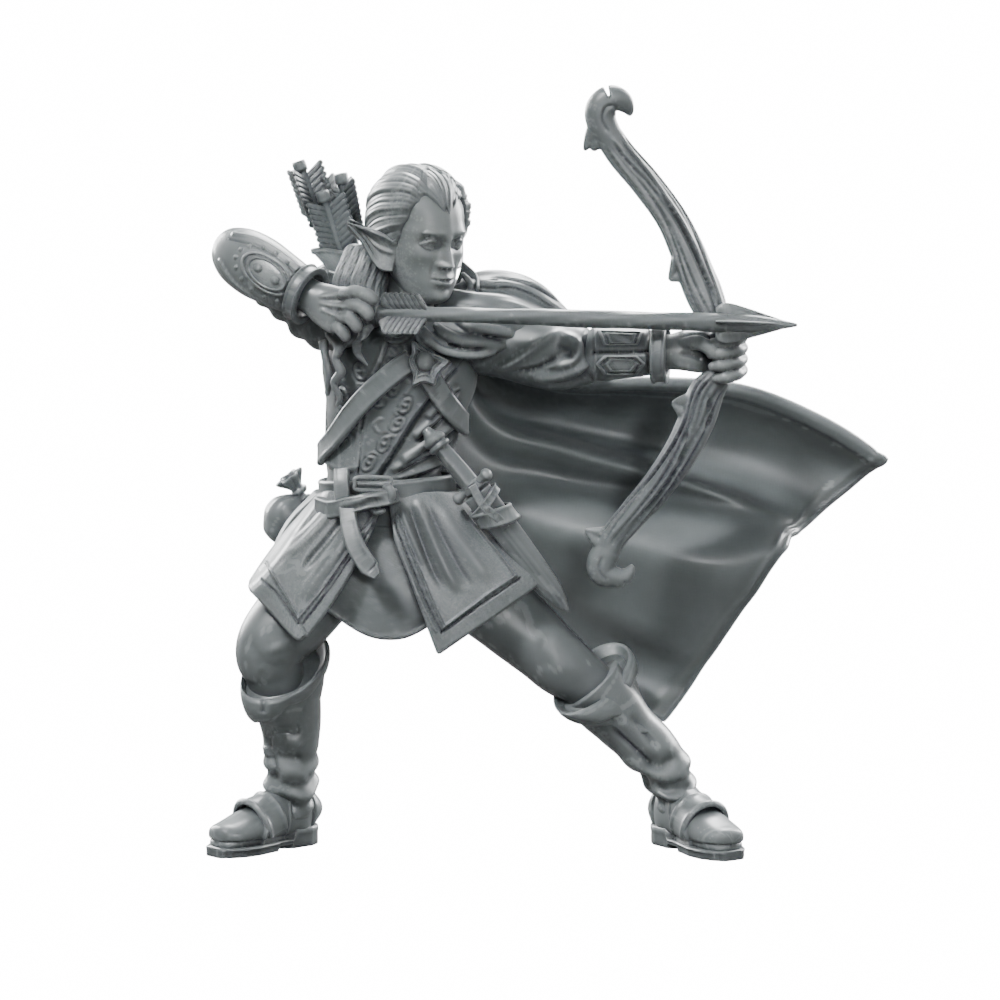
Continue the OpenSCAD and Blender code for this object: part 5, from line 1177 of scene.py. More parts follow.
def soleHalf(t):
    return boot["wide"] / 2 * np.interp(t, [0, 0.04, 0.12, 0.3, 0.45, 0.68, 0.82, 0.93, 1],
                                        [0.35, 0.62, 0.78, 0.74, 0.78, 1, 0.97, 0.74, 0.42])


def makeBoot(side):
    b = boots[side]
    heel = np.array([*b["heel"], 0.0])
    forward = unit([*b["toe"], 0.0])
    across = np.array([-forward[1], forward[0], 0.0])
    shaft = loft(b["shaft"], legAcross, 170, 170, (0, 0.1))
    p = shaft.points
    z = p[:, 2]
    low = ease((4.6 - z) / 2.0) * ease((z - 1.25) / 0.7)
    swirl = np.arctan2(p[:, 1] - 0.2, p[:, 0] - np.interp(z, [1.2, 6.7],
                                                          [b["shaft"][-1][0], b["shaft"][0][0]]))
    # the shaft sinks into folds over the ankle
    fold = np.sin((z - 0.18 * np.sin(swirl * 2 + 1) - 0.12 * np.sin(3 * swirl)) * 2 * math.pi / 1.05)
    shaft.rise = low * (0.13 * fold + 0.03) + 0.03 * ripples(p, 2.2,
        b["seed"]) + 0.07 * low * np.sin(3 * swirl + 2 * z)
    shaft.settle()
    shaft.strokes(b["marks"], 0.25, 1.7, 0.85)
    shaft.settle()

    # above it the leather widens to meet the turned top
    rimAt, rimX, rimY = (np.array(v, float) for v in b["rim"])
    low = smoothLine(b["shaft"], 60)[22]
    steps = np.linspace(0, 1, 46)
    blend = ease(steps)[:, None]
    middle = (rimAt - 0.32 * np.array([0, 0, 1.0])) * (1 - steps[:, None]) + low[:3] * steps[:, None]
    lowX = low[3] * unit(np.array([1.0, 0.2, 0]))
    lowY = low[4] * unit(np.array([-0.2, 1.0, 0]))
    wideX = 0.95 * rimX * (1 - blend) + 0.97 * lowX * blend
    wideY = 0.95 * rimY * (1 - blend) + 0.97 * lowY * blend
    q = turns(160)
    grid = middle[:, None] + np.cos(q)[None, :, None] * wideX[:, None] + np.sin(q)[None, :,
        None] * wideY[:, None]
    funnel = closedTube(grid, middle[:1], middle[-1:])
    funnel.roughen(2.0, 0.03, b["seed"] + 1)
    makePiece("boot_shaft_" + side, [shaft, funnel.settle()], "cast_leather")

    # the turned top: a flaring wall whose lower edge comes to a notch in front
    notch = np.array([b["notch"][0], -1.9, b["notch"][1]])
    around = 150
    q = turns(around)
    top = rimAt + np.cos(q)[:, None] * rimX + np.sin(q)[:, None] * rimY
    shaftTop = np.array(b["shaft"][0][:3])
    axis = unit(np.array(b["shaft"][3][:3]) - shaftTop)
    toNotch = notch - rimAt
    flatAcross = unit(np.cross(axis, [0, 1, 0]))
    angle = np.arctan2((top - rimAt) @ flatAcross, -(top - rimAt)[:, 1])
    notchAngle = math.atan2(toNotch @ flatAcross, -toNotch[1])
    gap = np.abs((angle - notchAngle + math.pi) % (2 * math.pi) - math.pi)
    drop = 0.62 + 0.52 * np.maximum(0, 1 - gap / 0.9) + 0.04 * np.sin(7 * q)
    wall = smoothLine([(0.8, 0.62, -0.1), (0.93, 0.22, -0.04), (1.0, 0.02, 0), (1.05, 0.02, 0),
                       (1.085, 0.12, 0),
                       (1.08, 0.45, 0), (1.03, 0.8, 0), (0.985, 1.0, 0), (0.95, 1.03, 0), (0.9, 1.0, 0),
                       (0.86, 0.8, 0),
                       (0.8, 0.75, 0)], 60, True)
    grid = np.array([rimAt + (top - rimAt) * scale + axis * (drop * share)[:, None] for scale, share,
                     _ in wall])
    cuff = Sculpt(grid.reshape(-1, 3), gridFaces(len(wall) + 1, around, True) % (len(wall) * around))
    cuff.roughen(1.9, 0.035, b["seed"] + 3)
    cuff.settle()
    cuff.stroke([(b["notch"][0] + x, b["notch"][1] + z) for x,
                 z in ((-0.05, 0.15), (0.0, 0.6), (0.08, 1.1))], 0.09, -0.1, 0.1)
    makePiece("boot_cuff_" + side, cuff.settle(), "cast_leather")

    rows = [(0.02, 0.95, 0.7, 0.5), (0.07, 1.12, 0.86, 0.8), (0.16, 1.28, 0.96, 1.0),
            (0.28, 1.36, 0.98, 1.08),
            (0.42, 1.26, 0.98, 0.98), (0.56, 1.08, 0.97, 0.8), (0.7, 0.93, 0.96, 0.64),
            (0.84, 0.82, 0.95, 0.52),
            (0.93, 0.77, 0.92, 0.48), (0.985, 0.7, 0.8, 0.4)]
    line = [(*(heel + t * boot["long"] * forward + np.array([0, 0, c])), 1.0, hh) for t, c, _, hh in rows]
    fine = np.array([(t, wide) for t, _, wide, _ in rows])
    foot = loft([(x, y, z, soleHalf(fine[i, 0]) * fine[i, 1], hh) for i,
                 (x, y, z, _, hh) in enumerate(line)],
                across, 150, 120, (0.12, 0.24), square=0.88)
    lowest = boot["sole"] + 0.02
    foot.points[:, 2] = np.where(foot.points[:, 2] < lowest + 0.25,
                                 lowest + (foot.points[:, 2] - lowest) * (foot.points[:, 2] > lowest),
                                 foot.points[:, 2])
    foot.start()

    def over(t, wide=1.1):
        q = np.linspace(-0.35, math.pi + 0.35, 14)
        c = np.interp(t, [r[0] for r in rows], [r[1] for r in rows])
        hh = np.interp(t, [r[0] for r in rows], [r[3] for r in rows])
        half = soleHalf(t) * np.interp(t, fine[:, 0], fine[:, 1])
        return [tuple(heel + (t + 0.05 * math.sin(a)) * boot["long"] * forward + half * math.cos(a) * across
                      + np.array([0, 0, max(c + hh * math.sin(a), lowest)])) for a in q]
    share = (foot.points - heel) @ forward / boot["long"]
    height = foot.points[:, 2]
    # vamp laps over the toe cap, and a counter stands round the heel
    edge = 0.645 - 0.05 * (height - 0.8)
    foot.rise += 0.1 * (1 / (1 + np.exp((share - edge) * 160)))
    foot.rise += 0.06 * bump(share - edge + 0.014, 0.01)
    foot.rise += 0.05 * bump(share - 0.4 + 0.03 * height, 0.01)
    foot.rise += 0.08 / (1 + np.exp((share - 0.1) * 120))
    foot.rise -= 0.05 * bump(share - 0.115, 0.012)
    foot.rise += 0.1 * bump(height - lowest - 0.05, 0.1) * (share > 0.0)
    foot.rise -= 0.07 * bump(height - lowest - 0.24, 0.05)
    foot.settle()
    foot.roughen(1.4, 0.02, b["seed"] + 5)
    makePiece("boot_foot_" + side, foot.settle(), "cast_leather")

    instep = over(0.52)
    outward = [tuple(unit(np.array(p) - (heel + 0.52 * boot["long"] * forward + np.array([0, 0,
        0.8])))) for p in instep]
    band = strap(instep, outward, 1.15, 0.2, 130, 0.45, False, 36)
    makePiece("boot_strap_" + side, band, "cast_leather")

    along = np.concatenate([np.linspace(0, 0.1, 7), np.linspace(0.12, 0.9, 32), np.linspace(0.91, 1, 9)])
    half = soleHalf(along)
    half[0] *= 0.6
    half[-1] *= 0.7
    grow = 0.04
    loop = np.vstack([np.column_stack([along, half]), np.column_stack([along[::-1], -half[::-1]])])
    arch = (along > 0.31) & (along < 0.46)
    floor = np.where(np.r_[arch, arch[::-1]], 0.17, 0.0)
    shape = smoothLine(np.column_stack([loop, floor]), 260, True)
    steps = []
    high = boot["sole"]
    for scale, z in ((0.0, 0.0), (0.7, 0.0), (0.97, 0.0), (1.0, 0.03), (1.01, 0.1), (1.0, 0.2),
                     (1.02, 0.26), (1.05, high - 0.06),
                     (1.04, high), (0.98, high + 0.03), (0.6, high + 0.03), (0.0, high + 0.03)):
        x = 0.5 + (shape[:, 0] - 0.5) * (scale if scale < 0.9 else 1)
        w = shape[:, 1] * scale
        bottom = shape[:, 2]
        upper = high + 0.03 + 0.42 * ease((0.315 - shape[:, 0]) / 0.04)
        zz = bottom + (upper - bottom) * (z / (high + 0.03))
        steps.append(heel + (x * boot["long"])[:, None] * forward + w[:, None] * across + zz[:,
            None] * np.array([0, 0, 1.0])
                     + (grow * (scale > 0.9) * np.sign(x - 0.5) * (np.abs(x - 0.5) > 0.47))[:,
                         None] * forward)
    grid = np.array(steps)
    sole = Sculpt(grid.reshape(-1, 3), gridFaces(len(steps), grid.shape[1], True))
    makePiece("boot_sole_" + side, sole, "cast_leather")


for side in ("right", "left"):
    makeBoot(side)


# Lays a flat plate facing the front onto the front of a form, keeping its own thickness.
def drape(plate, skin, lift=0.0):
    front = skin.points[skin.normals[:, 1] < -0.05]
    p = plate.points
    for start in range(0, len(p), 1500):
        part = p[start:start + 1500]
        d = ((part[:, None, [0, 2]] - front[None, :, [0, 2]]) ** 2).sum(2)
        pick = np.argpartition(d, 6, axis=1)[:, :6]
        w = 1 / (np.take_along_axis(d, pick, 1) + 0.004)
        part[:, 1] += (front[pick, 1] * w).sum(1) / w.sum(1) - lift
    plate.start()
    return plate


def turnAround(axis, degrees):
    a = unit(axis)
    q = math.radians(degrees)
    cross = np.array([[0, -a[2], a[1]], [a[2], 0, -a[0]], [-a[1], a[0], 0]])
    return np.eye(3) + math.sin(q) * cross + (1 - math.cos(q)) * cross @ cross


# arms

print("arms")
armAcross = (0, 0.3, 1)
sleeveR = loft([(-7.0, -0.1, 20.1, 1.1, 1.2), (-8.0, 0.2, 20.9, 1.2, 1.2), (-9.2, 0.7, 21.6, 1.15, 1.1),
                (-10.8, 1.15, 22.75, 1.05, 1.0), (-11.8, 1.2, 23.4, 1.0, 0.95),
                (-12.35, 1.0, 23.75, 0.8, 0.75)],
               armAcross, 150, 130, (0.3, 0.5), lambda u,
               v: 0.07 * np.sin(u * 46 + 1.4 * np.sin(v)) * ease(3 * u))
sleeveR.roughen(1.5, 0.05, 71)
makePiece("sleeve_right", sleeveR.settle(), "cast_cloth")

sleeveL = loft([(-4.0, -0.3, 20.4, 1.1, 1.1), (-3.0, -0.5, 20.5, 1.25, 1.25),
                (-1.6, -0.9, 20.4, 1.36, 1.34),
                (0.2, -1.4, 20.05, 1.42, 1.36), (1.3, -1.75, 20.0, 1.28, 1.22),
                (2.1, -2.0, 20.1, 0.95, 0.95)],
               armAcross, 200, 190, (0.3, 0.35))
sleeveL.strokes([
        ([(-2.2, 19.5), (-1.47, 19.67), (-0.78, 20.07), (0.21, 20.76), (0.9, 20.98)], 0.17, 0.2),
        ([(0.5, 20.88), (1.29, 20.56), (1.1, 19.87), (0.15, 19.6)], 0.17, 0.17),
        ([(-0.5, 19.12), (0.41, 19.22), (1.45, 19.6), (1.95, 20.3)], 0.17, 0.17),
        ([(-1.4, 19.32), (-0.28, 19.57), (0.6, 20.1)], 0.12, -0.18),
        ([(0.15, 18.85), (1.2, 19.05), (1.9, 19.7)], 0.1, -0.14),
        ([(0.4, 20.45), (0.95, 20.3), (0.9, 19.9)], 0.12, -0.16),
        ([(1.5, 20.9), (1.7, 20.2), (1.55, 19.6)], 0.1, -0.14),
        ([(-2.8, 19.6), (-2.0, 20.0), (-1.2, 20.7)], 0.2, 0.1),
        ([(-3.0, 20.1), (-2.1, 20.6), (-1.4, 21.2)], 0.18, -0.1),
        ([(-0.2, 19.6), (0.3, 19.7), (0.8, 20.3)], 0.09, 0.1)])
sleeveL.roughen(2.4, 0.03, 72)
makePiece("sleeve_left", sleeveL.settle(), "cast_cloth")

bracerR = loft([(-12.75, 0.95, 24.2, 0.55, 0.5), (-12.45, 0.45, 24.05, 0.98, 0.9),
                (-12.0, 0.0, 23.8, 1.2, 1.08),
                (-11.3, -0.6, 23.42, 1.27, 1.12), (-10.5, -1.2, 23.0, 1.16, 1.02),
                (-9.7, -1.68, 22.6, 1.0, 0.9)],
               armAcross, 170, 170, (0.5, 0.12))
bracerR.strokes([([(-12.3, 24.75), (-11.3, 24.55), (-10.3, 24.0), (-9.55, 23.4)], 0.07, 0.1),
                         ([(-12.5, 24.55), (-11.3, 24.32), (-10.35, 23.8), (-9.65, 23.2)], 0.05, -0.07),
                         ([(-12.85, 23.7), (-12.3, 22.9), (-11.3, 22.2), (-10.3, 21.75)], 0.06, 0.08)], 0)
bracerR.settle()
plaqueLong = unit([0.83, 0, -0.56])
plaqueWide = np.array([0.56, 0, 0.83])
ovalAt = np.array([-10.93, 0.0, 23.24])
for q in range(0, 360, 24):
    r = math.radians(q)
    dot = ovalAt + 1.42 * math.cos(r) * plaqueLong + 0.86 * math.sin(r) * plaqueWide
    bracerR.bead((dot[0], dot[2]), 0.085, 0.06)
bracerR.settle()
makePiece("bracer_right", bracerR, "cast_leather")


def ovalRing(a, b, count=16):
    return [(a * math.cos(2 * math.pi * k / count),
             b * math.sin(2 * math.pi * k / count)) for k in range(count)]


plaque = medal(ovalRing(1.18, 0.66), ovalAt, plaqueLong, plaqueWide,
               [(0, 0.05), (0.6, 0.05), (0.66, 0.05), (0.7, 0.13), (0.76, 0.13), (0.8, 0.04),
                (0.88, 0.04), (0.92, 0.15),
                (1.0, 0.12)], 0.3, 120, 44)
for s in (-0.42, 0.42):
    plaque.bead(tuple((ovalAt + s * plaqueLong)[[0, 2]]), 0.17, 0.15)
plaque.settle()
makePiece("bracer_plate_right", drape(plaque, bracerR, 0.0), "cast_metal")


def armCuff(name, centre, axis, half, deep, wide, slot):
    axis = unit(axis)
    w = unit(np.array(armAcross) - (np.array(armAcross) @ axis) * axis)
    d = np.cross(axis, w)
    rounds = np.linspace(0, 2 * math.pi, 40, endpoint=False)
    line = [tuple(np.array(centre) + half * math.cos(q) * w + deep * math.sin(q) * d) for q in rounds]
    outward = [tuple(math.cos(q) * w + math.sin(q) * d) for q in rounds]
    ring = strap(line, outward, wide, 0.26, 140, 0.35, True, 30)
    ring.roughen(1.0, 0.015, 77)
    makePiece(name, ring.settle(), slot)


armCuff("bracer_cuff_right", (-9.42, -1.85, 22.44), (0.6, -0.35, -0.28), 0.88, 0.8, 0.58, "cast_leather")

bracerL = loft([(1.75, -1.9, 20.1, 1.0, 0.96), (2.2, -2.03, 20.1, 1.08, 1.02),
                (3.0, -2.3, 20.15, 1.02, 0.96),
                (4.2, -2.6, 20.2, 0.9, 0.84)], armAcross, 120, 150, (0.1, 0.1))
bracerL.strokes([([(1.95, 21.05), (2.0, 20.1), (1.95, 19.1)], 0.06, 0.08),
                         ([(4.05, 21.0), (4.0, 20.2), (4.05, 19.4)], 0.05, 0.06),
                         ([(1.9, 20.22), (3.0, 20.24), (4.1, 20.28)], 0.07, -0.16)], 0)
bracerL.settle()
makePiece("bracer_left", bracerL, "cast_leather")
plates = []
for outline, seed in (([(-0.95, 0.36), (0.85, 0.33), (0.62, -0.2), (-0.72, -0.24)], (3.0, 20.74)),
                      ([(-1.0, 0.06), (-0.66, 0.4), (0.6, 0.4), (0.94, 0.08), (0.62, -0.38),
                        (-0.68, -0.4)], (2.98, 19.72))):
    sharp = []
    for a, b in zip(outline, outline[1:] + outline[:1]):
        a, b = np.array(a), np.array(b)
        sharp += [tuple(a + t * (b - a)) for t in (0.06, 0.35, 0.65, 0.94)]
    plate = medal(sharp, (seed[0], 0, seed[1]), (1, 0, 0), (0, 0, 1),
                  [(0, 0.04), (0.5, 0.04), (0.56, 0.12), (0.64, 0.12), (0.7, 0.03), (0.82, 0.04),
                   (0.88, 0.17), (1.0, 0.15)],
                  0.3, 130, 44)
    plates.append(drape(plate, bracerL, 0.0))
makePiece("bracer_plates_left", plates, "cast_metal")
armCuff("bracer_cuff_left", (4.52, -2.68, 20.2), (0.63, -0.1, 0), 0.94, 0.88, 0.62, "cast_leather")


# hands

print("hands")
hand = {"grain": 0.036}


def finger(joints, r, tip=0.8):
    n = len(joints)
    rs = [r * (1.0 if i < n - 1 else tip) for i in range(n)]
    form = loft([(*j, a, 0.96 * a) for j, a in zip(joints, rs)], (0.1, 0.9, 0.3), 40, 26,
                (r * 0.9, r * 0.85))
    for i in range(1, n - 1):
        form.bead(joints[i], r * 1.5, 0.035)
    return form.settle()


palmR = loft([(-9.75, -1.66, 22.62, 0.7, 0.62), (-9.1, -2.04, 22.3, 0.7, 0.58),
              (-8.6, -2.38, 22.05, 0.84, 0.5),
              (-8.05, -2.7, 21.8, 0.92, 0.42), (-7.75, -2.88, 21.68, 0.78, 0.32)], armAcross, 70, 60,
              (0.1, 0.3))
fingersR = [
    ([(-8.05, -2.86, 22.42), (-7.42, -3.28, 22.6), (-6.85, -3.66, 22.45), (-6.55, -3.7, 22.12)], 0.25),
    ([(-8.0, -3.0, 21.98), (-7.36, -3.42, 22.08), (-6.95, -3.72, 21.85), (-6.78, -3.72, 21.5)], 0.25),
    ([(-8.1, -2.95, 21.58), (-7.66, -3.34, 21.62), (-7.38, -3.46, 21.34), (-7.32, -3.36, 21.05)], 0.25),
    ([(-8.25, -2.8, 21.25), (-8.02, -3.12, 21.15), (-7.82, -3.16, 20.92), (-7.78, -3.02, 20.7)], 0.22),
    ([(-8.5, -2.2, 22.4), (-7.9, -2.35, 22.5), (-7.3, -2.85, 22.3)], 0.25),
]
handR = fuse([palmR] + [finger(j, r) for j, r in fingersR], hand["grain"], 3)
handR.strokes([([(-8.9, 22.35), (-8.3, 22.45), (-7.8, 22.5)], 0.08, 0.06),
               ([(-8.9, 22.15), (-8.3, 22.05), (-7.75, 22.03)], 0.08, 0.06),
                         ([(-8.85, 21.95), (-8.4, 21.75), (-8.0, 21.6)], 0.08, 0.06),
                         ([(-8.7, 22.25), (-8.1, 22.25), (-7.7, 22.26)], 0.08, -0.05),
                         ([(-8.6, 21.95), (-8.1, 21.8), (-7.7, 21.8)], 0.08, -0.05),
                         ([(-6.68, 22.18), (-6.5, 22.06)], 0.05, -0.03)])
makePiece("hand_right", handR.settle(), "cast_skin")

palmL = loft([(4.3, -2.64, 20.2, 0.7, 0.62), (4.9, -2.74, 20.22, 0.7, 0.6),
              (5.6, -2.72, 20.28, 0.84, 0.54),
              (6.2, -2.5, 20.28, 0.92, 0.46), (6.95, -1.98, 20.25, 0.86, 0.32)], armAcross, 80, 60,
              (0.1, 0.3))
fingersL = []
for k in range(4):
    z = 20.84 - 0.435 * k
    slope = -0.03 * k
    reach = (0.1, 0.0, 0.06, 0.22)[k]
    fingersL.append(([(6.5, -2.05, z + 0.02), (7.25, -2.1, z), (7.72, -2.68, z - 0.02),
                      (7.48, -3.4, z - 0.06 + slope),
                      (6.85 + reach, -3.66, z - 0.16 + slope), (6.28 + reach, -3.5, z - 0.22 + slope)],
                      0.222))
fingersL.append(([(5.2, -2.95, 20.5), (5.9, -3.3, 20.62), (6.4, -3.55, 20.42), (6.75, -3.62, 20.0)], 0.27))
handL = fuse([palmL] + [finger(j, r) for j, r in fingersL], hand["grain"], 3)
handL.strokes([([(5.2, 20.9), (5.9, 20.95), (6.5, 20.8)], 0.1, 0.06),
               ([(5.0, 19.8), (5.6, 19.6), (6.2, 19.5)], 0.12, 0.06),
                         ([(5.2, 20.2), (5.8, 20.1), (6.2, 19.9)], 0.1, -0.07)])
makePiece("hand_left", handL.settle(), "cast_skin")


# bow

print("bow")
bow = {"grain": 0.042, "grainLines": 6, "grainDeep": 0.1, "grainWide": 0.075}
upperLimb = [(6.68, -2.8, 21.15, 0.52, 0.44), (6.5, -2.78, 21.8, 0.66, 0.46),
             (6.22, -2.72, 22.5, 0.74, 0.48),
             (5.93, -2.62, 23.2, 0.73, 0.48), (5.5, -2.5, 24.3, 0.68, 0.46),
             (4.9, -2.38, 25.5, 0.62, 0.45),
             (3.95, -2.22, 26.8, 0.6, 0.43), (3.0, -2.08, 27.9, 0.58, 0.42),
             (2.38, -2.02, 28.8, 0.54, 0.4)]
lowerLimb = [(6.88, -2.82, 19.35, 0.5, 0.43), (6.32, -2.78, 18.6, 0.7, 0.47),
             (5.98, -2.68, 17.6, 0.72, 0.48),
             (5.42, -2.54, 16.4, 0.68, 0.46), (4.58, -2.38, 15.1, 0.64, 0.45),
             (3.5, -2.2, 13.8, 0.58, 0.43),
             (2.7, -2.06, 12.8, 0.54, 0.41), (2.32, -2.0, 12.0, 0.52, 0.39)]
gripLine = [(6.7, -2.8, 21.35, 0.46, 0.4), (6.9, -2.85, 20.6, 0.44, 0.4), (6.95, -2.85, 19.8, 0.46, 0.4),
            (6.88, -2.82, 19.15, 0.48, 0.42)]


def limb(name, line, seed, extras, hollows):
    fine = smoothLine(line, 120)
    w = unit(np.cross([0, 1.0, 0], unit(np.gradient(fine[:, :3], axis=0))))
    s = np.linspace(0, 1, len(fine))
    rng = np.random.default_rng(seed)
    parts = [loft(line, tuple(w[60]), 120, 50, (0.15, 0.2))]
    parts += [wire(points, 44, 24, 0.82, (1, 0, 0.3), ends) for points, ends in extras]
    skin = fuse(parts, bow["grain"], 5)
    # long grain running up the wood, front and back
    for k in range(bow["grainLines"]):
        waver = 0.2 * np.sin(2 * math.pi * (0.75 * s + rng.uniform(0, 1)))
        e = np.clip(-0.8 + 1.6 * k / (bow["grainLines"] - 1) + waver, -0.93, 0.93)
        deep = bow["grainDeep"] * rng.uniform(0.6, 1.3)
        thick = bow["grainWide"] * rng.uniform(0.7, 1.3)
        for face in (-1, 1):
            path = (fine[:, :3] + (e * fine[:, 3])[:, None] * w
                    + (face * 0.92 * fine[:, 4] * np.sqrt(1 - e * e))[:, None] * np.array([0, 1.0, 0]))
            skin.stroke(path[2:-2:8], thick, -deep, 0.08)
            skin.stroke(path[4:-4:8] + 1.6 * thick * w[4:-4:8], thick, 0.5 * deep, 0.08)
    skin.settle()
    skin.strokes(hollows)
    makePiece(name, skin.settle(), "cast_wood")


limb("bow_limb_upper", upperLimb, 81, [
    ([(2.55, -2.0, 28.5, 0.54), (2.2, -2.0, 29.2, 0.6), (2.2, -2.0, 29.7, 0.62), (2.56, -2.0, 30.05, 0.58),
      (2.98, -2.0, 29.98, 0.46), (3.24, -2.0, 29.7, 0.28), (3.36, -2.0, 29.4, 0.08)], 0.08),
    ([(2.2, -2.0, 29.3, 0.4), (1.9, -2.0, 28.8, 0.32), (1.68, -2.0, 28.35, 0.2),
      (1.54, -2.0, 28.05, 0.07)], 0.04),
    ([(2.3, -2.0, 28.6, 0.36), (2.0, -2.02, 28.3, 0.26), (1.85, -2.02, 28.05, 0.1)], 0.05),
    ([(5.35, -2.6, 24.2, 0.4), (5.08, -2.6, 23.6, 0.22), (4.84, -2.6, 23.02, 0.06)], 0.04),
    ([(5.6, -2.6, 23.4, 0.36), (5.2, -2.6, 23.15, 0.22), (4.86, -2.6, 23.0, 0.06)], 0.04),
], [([(2.5, 28.7), (2.25, 29.3), (2.4, 29.75), (2.8, 29.8)], 0.08, -0.07)])
limb("bow_limb_lower", lowerLimb, 82, [
    ([(2.55, -2.0, 12.4, 0.54), (2.26, -2.0, 11.9, 0.58), (2.3, -2.0, 11.45, 0.56),
      (2.65, -2.0, 11.27, 0.46),
      (3.08, -2.0, 11.25, 0.38), (3.36, -2.0, 11.46, 0.25), (3.48, -2.0, 11.76, 0.08)], 0.08),
    ([(2.75, -2.05, 12.9, 0.42), (2.2, -2.05, 13.0, 0.26), (1.6, -2.05, 13.14, 0.07)], 0.04),
    ([(2.5, -2.05, 12.4, 0.4), (2.0, -2.05, 12.75, 0.24), (1.62, -2.05, 13.08, 0.07)], 0.04),
    ([(5.75, -2.7, 17.6, 0.44), (5.3, -2.7, 17.95, 0.22), (4.98, -2.7, 18.2, 0.06)], 0.04),
    ([(5.75, -2.7, 18.3, 0.36), (5.3, -2.7, 18.28, 0.2), (4.98, -2.7, 18.22, 0.06)], 0.04),
], [([(6.34, 18.7), (6.45, 18.0), (6.35, 17.2)], 0.12, -0.12),
    ([(5.55, 17.2), (5.5, 16.5), (5.2, 15.9)], 0.1, -0.1),
    ([(2.3, 12.2), (2.15, 11.6), (2.45, 11.1)], 0.08, -0.07)])
grip = loft(gripLine, (0, 1, 0), 90, 60, (0.1, 0.1), lambda u, v: 0.03 * np.sin(u * 60 + v))
makePiece("bow_grip", grip, "cast_wood")


# arrow on the bow

print("arrows")
arrow = {"nock": (-6.6, -3.3, 21.8), "rest": (6.85, -4.0, 21.44), "long": 13.6,
         "headLong": 2.8, "headWide": 1.7}
arrowFrom = np.array(arrow["nock"])
arrowTo = unit(np.array(arrow["rest"]) - arrowFrom)
arrowSide = unit(np.cross(arrowTo, [0, 0, 1.0]))
arrowUp = np.cross(arrowSide, arrowTo)


def onArrow(along, side, up):
    return arrowFrom + along * arrowTo + side * arrowSide + up * arrowUp


shaft = loft([(*onArrow(a, 0, 0), r, r) for a, r in ((0, 0.24), (0.4, 0.26), (3, 0.29), (8, 0.335),
                                                     (13.0, 0.36), (13.75, 0.36))],
             (0, 0, 1), 260, 48, (0.06, 0.1), lambda u,
             v: 0.01 * np.sin(5 * v + 30 * u) + 0.014 * np.sin(2 * v + 14 * u))
makePiece("arrow_shaft", shaft, "cast_wood")


def pointHead(base, long, wide, core):
    parts = [loft([(*onArrow(base + a * long, 0, 0), r, r) for a,
                   r in ((0, core), (0.35, core * 1.05), (0.7, core * 0.66), (0.93, core * 0.3),
                         (1.0, 0.05))],
                  (0, 0, 1), 70, 40, (0.05, 0.02))]
    for k in range(4):
        q = math.radians(8 + 90 * k)
        s, u = math.cos(q), math.sin(q)
        profile = [(-0.13, 0.34, 0.045), (-0.08, 0.42, 0.06), (0.0, 0.46, 0.07), (0.12, 0.44, 0.075),
                   (0.4, 0.31, 0.075),
                   (0.7, 0.155, 0.065), (0.9, 0.05, 0.05), (1.0, 0.015, 0.03)]
        rings = []
        for a, r, h in profile:
            inner = core * 0.3 if a < 0 else 0.0
            out = r * wide
            lo = inner if a >= 0 else out - 0.22 * wide
            t = np.array([-u, s])
            row = []
            for e, f in ((lo, 1), (lo + 0.5 * (out - lo), 1.0), (out - 0.03, 0.6), (out, 0),
                         (out - 0.03, -0.6),
                         (lo + 0.5 * (out - lo), -1.0), (lo, -1)):
                row.append(onArrow(base + a * long, e * s + f * h * t[0], e * u + f * h * t[1]))
            rings.append(row)
        grid = np.array([smoothLine(np.array(rings)[:, i], 60) for i in range(7)]).transpose(1, 0, 2)
        parts.append(closedTube(grid))
    return parts


makePiece("arrow_head", pointHead(arrow["long"], arrow["headLong"], arrow["headWide"], 0.34), "cast_metal")


# A vane of slanting ribs from the shaft outward.
def vane(start, along, out, long, high, ribs, thick=0.16, slant=0.3):
    side = unit(np.cross(along, out))
    nu, nv = 12 * ribs, 16
    u = np.linspace(0, 1, nu)[:, None] + np.zeros((1, nv))
    v = np.linspace(0, 1, nv)[None, :] + np.zeros((nu, 1))
    comb = (u * ribs) % 1.0
    tooth = 0.25 + 0.75 * np.sqrt(np.clip(1 - (2 * comb - 1) ** 2, 0, 1))
    reach = high * (0.8 + 0.2 * tooth) * np.clip(5 * u + 0.35, 0, 1)
    faces = []
    for sign in (1, -1):
        h = sign * thick / 2 * (0.35 + 0.65 * tooth) * np.sqrt(np.clip(1.03 - v ** 4, 0, 1))
        faces.append(start + (long * u + slant * v * high)[..., None] * along + (reach * v)[...,
            None] * out + h[..., None] * side)
    front, back = (g.reshape(-1, 3) for g in faces)
    rim = rimOf(nu, nv)
    quads = gridFaces(nu, nv, False)
    band = np.column_stack([rim, rim + nu * nv, np.roll(rim, -1) + nu * nv, np.roll(rim, -1)])
    return Sculpt(np.vstack([front, back]), np.vstack([quads, quads[:, ::-1] + nu * nv, band[:, ::-1]]))


nockedVanes = []
for q in (62, 182, 302):
    r = math.radians(q)
    out = math.cos(r) * arrowSide + math.sin(r) * arrowUp
    nockedVanes.append(vane(onArrow(0.5, 0, 0) + 0.15 * out, arrowTo, out, 1.6, 0.78, 8, 0.24, -0.5))
makePiece("arrow_vanes", nockedVanes, "cast_wood")


# quiver

quiverFoot = np.array([-5.5, 4.15, 16.0])
quiverMouth = np.array([-8.35, 3.25, 23.5])
quiverUp = unit(quiverMouth - quiverFoot)
quiverLong = np.linalg.norm(quiverMouth - quiverFoot)
quiverX = unit(np.cross([0, 1.0, 0], quiverUp))
quiverY = np.cross(quiverUp, quiverX)


def inQuiver(x, y, z):
    return quiverFoot + x * quiverX + y * quiverY + z * quiverUp


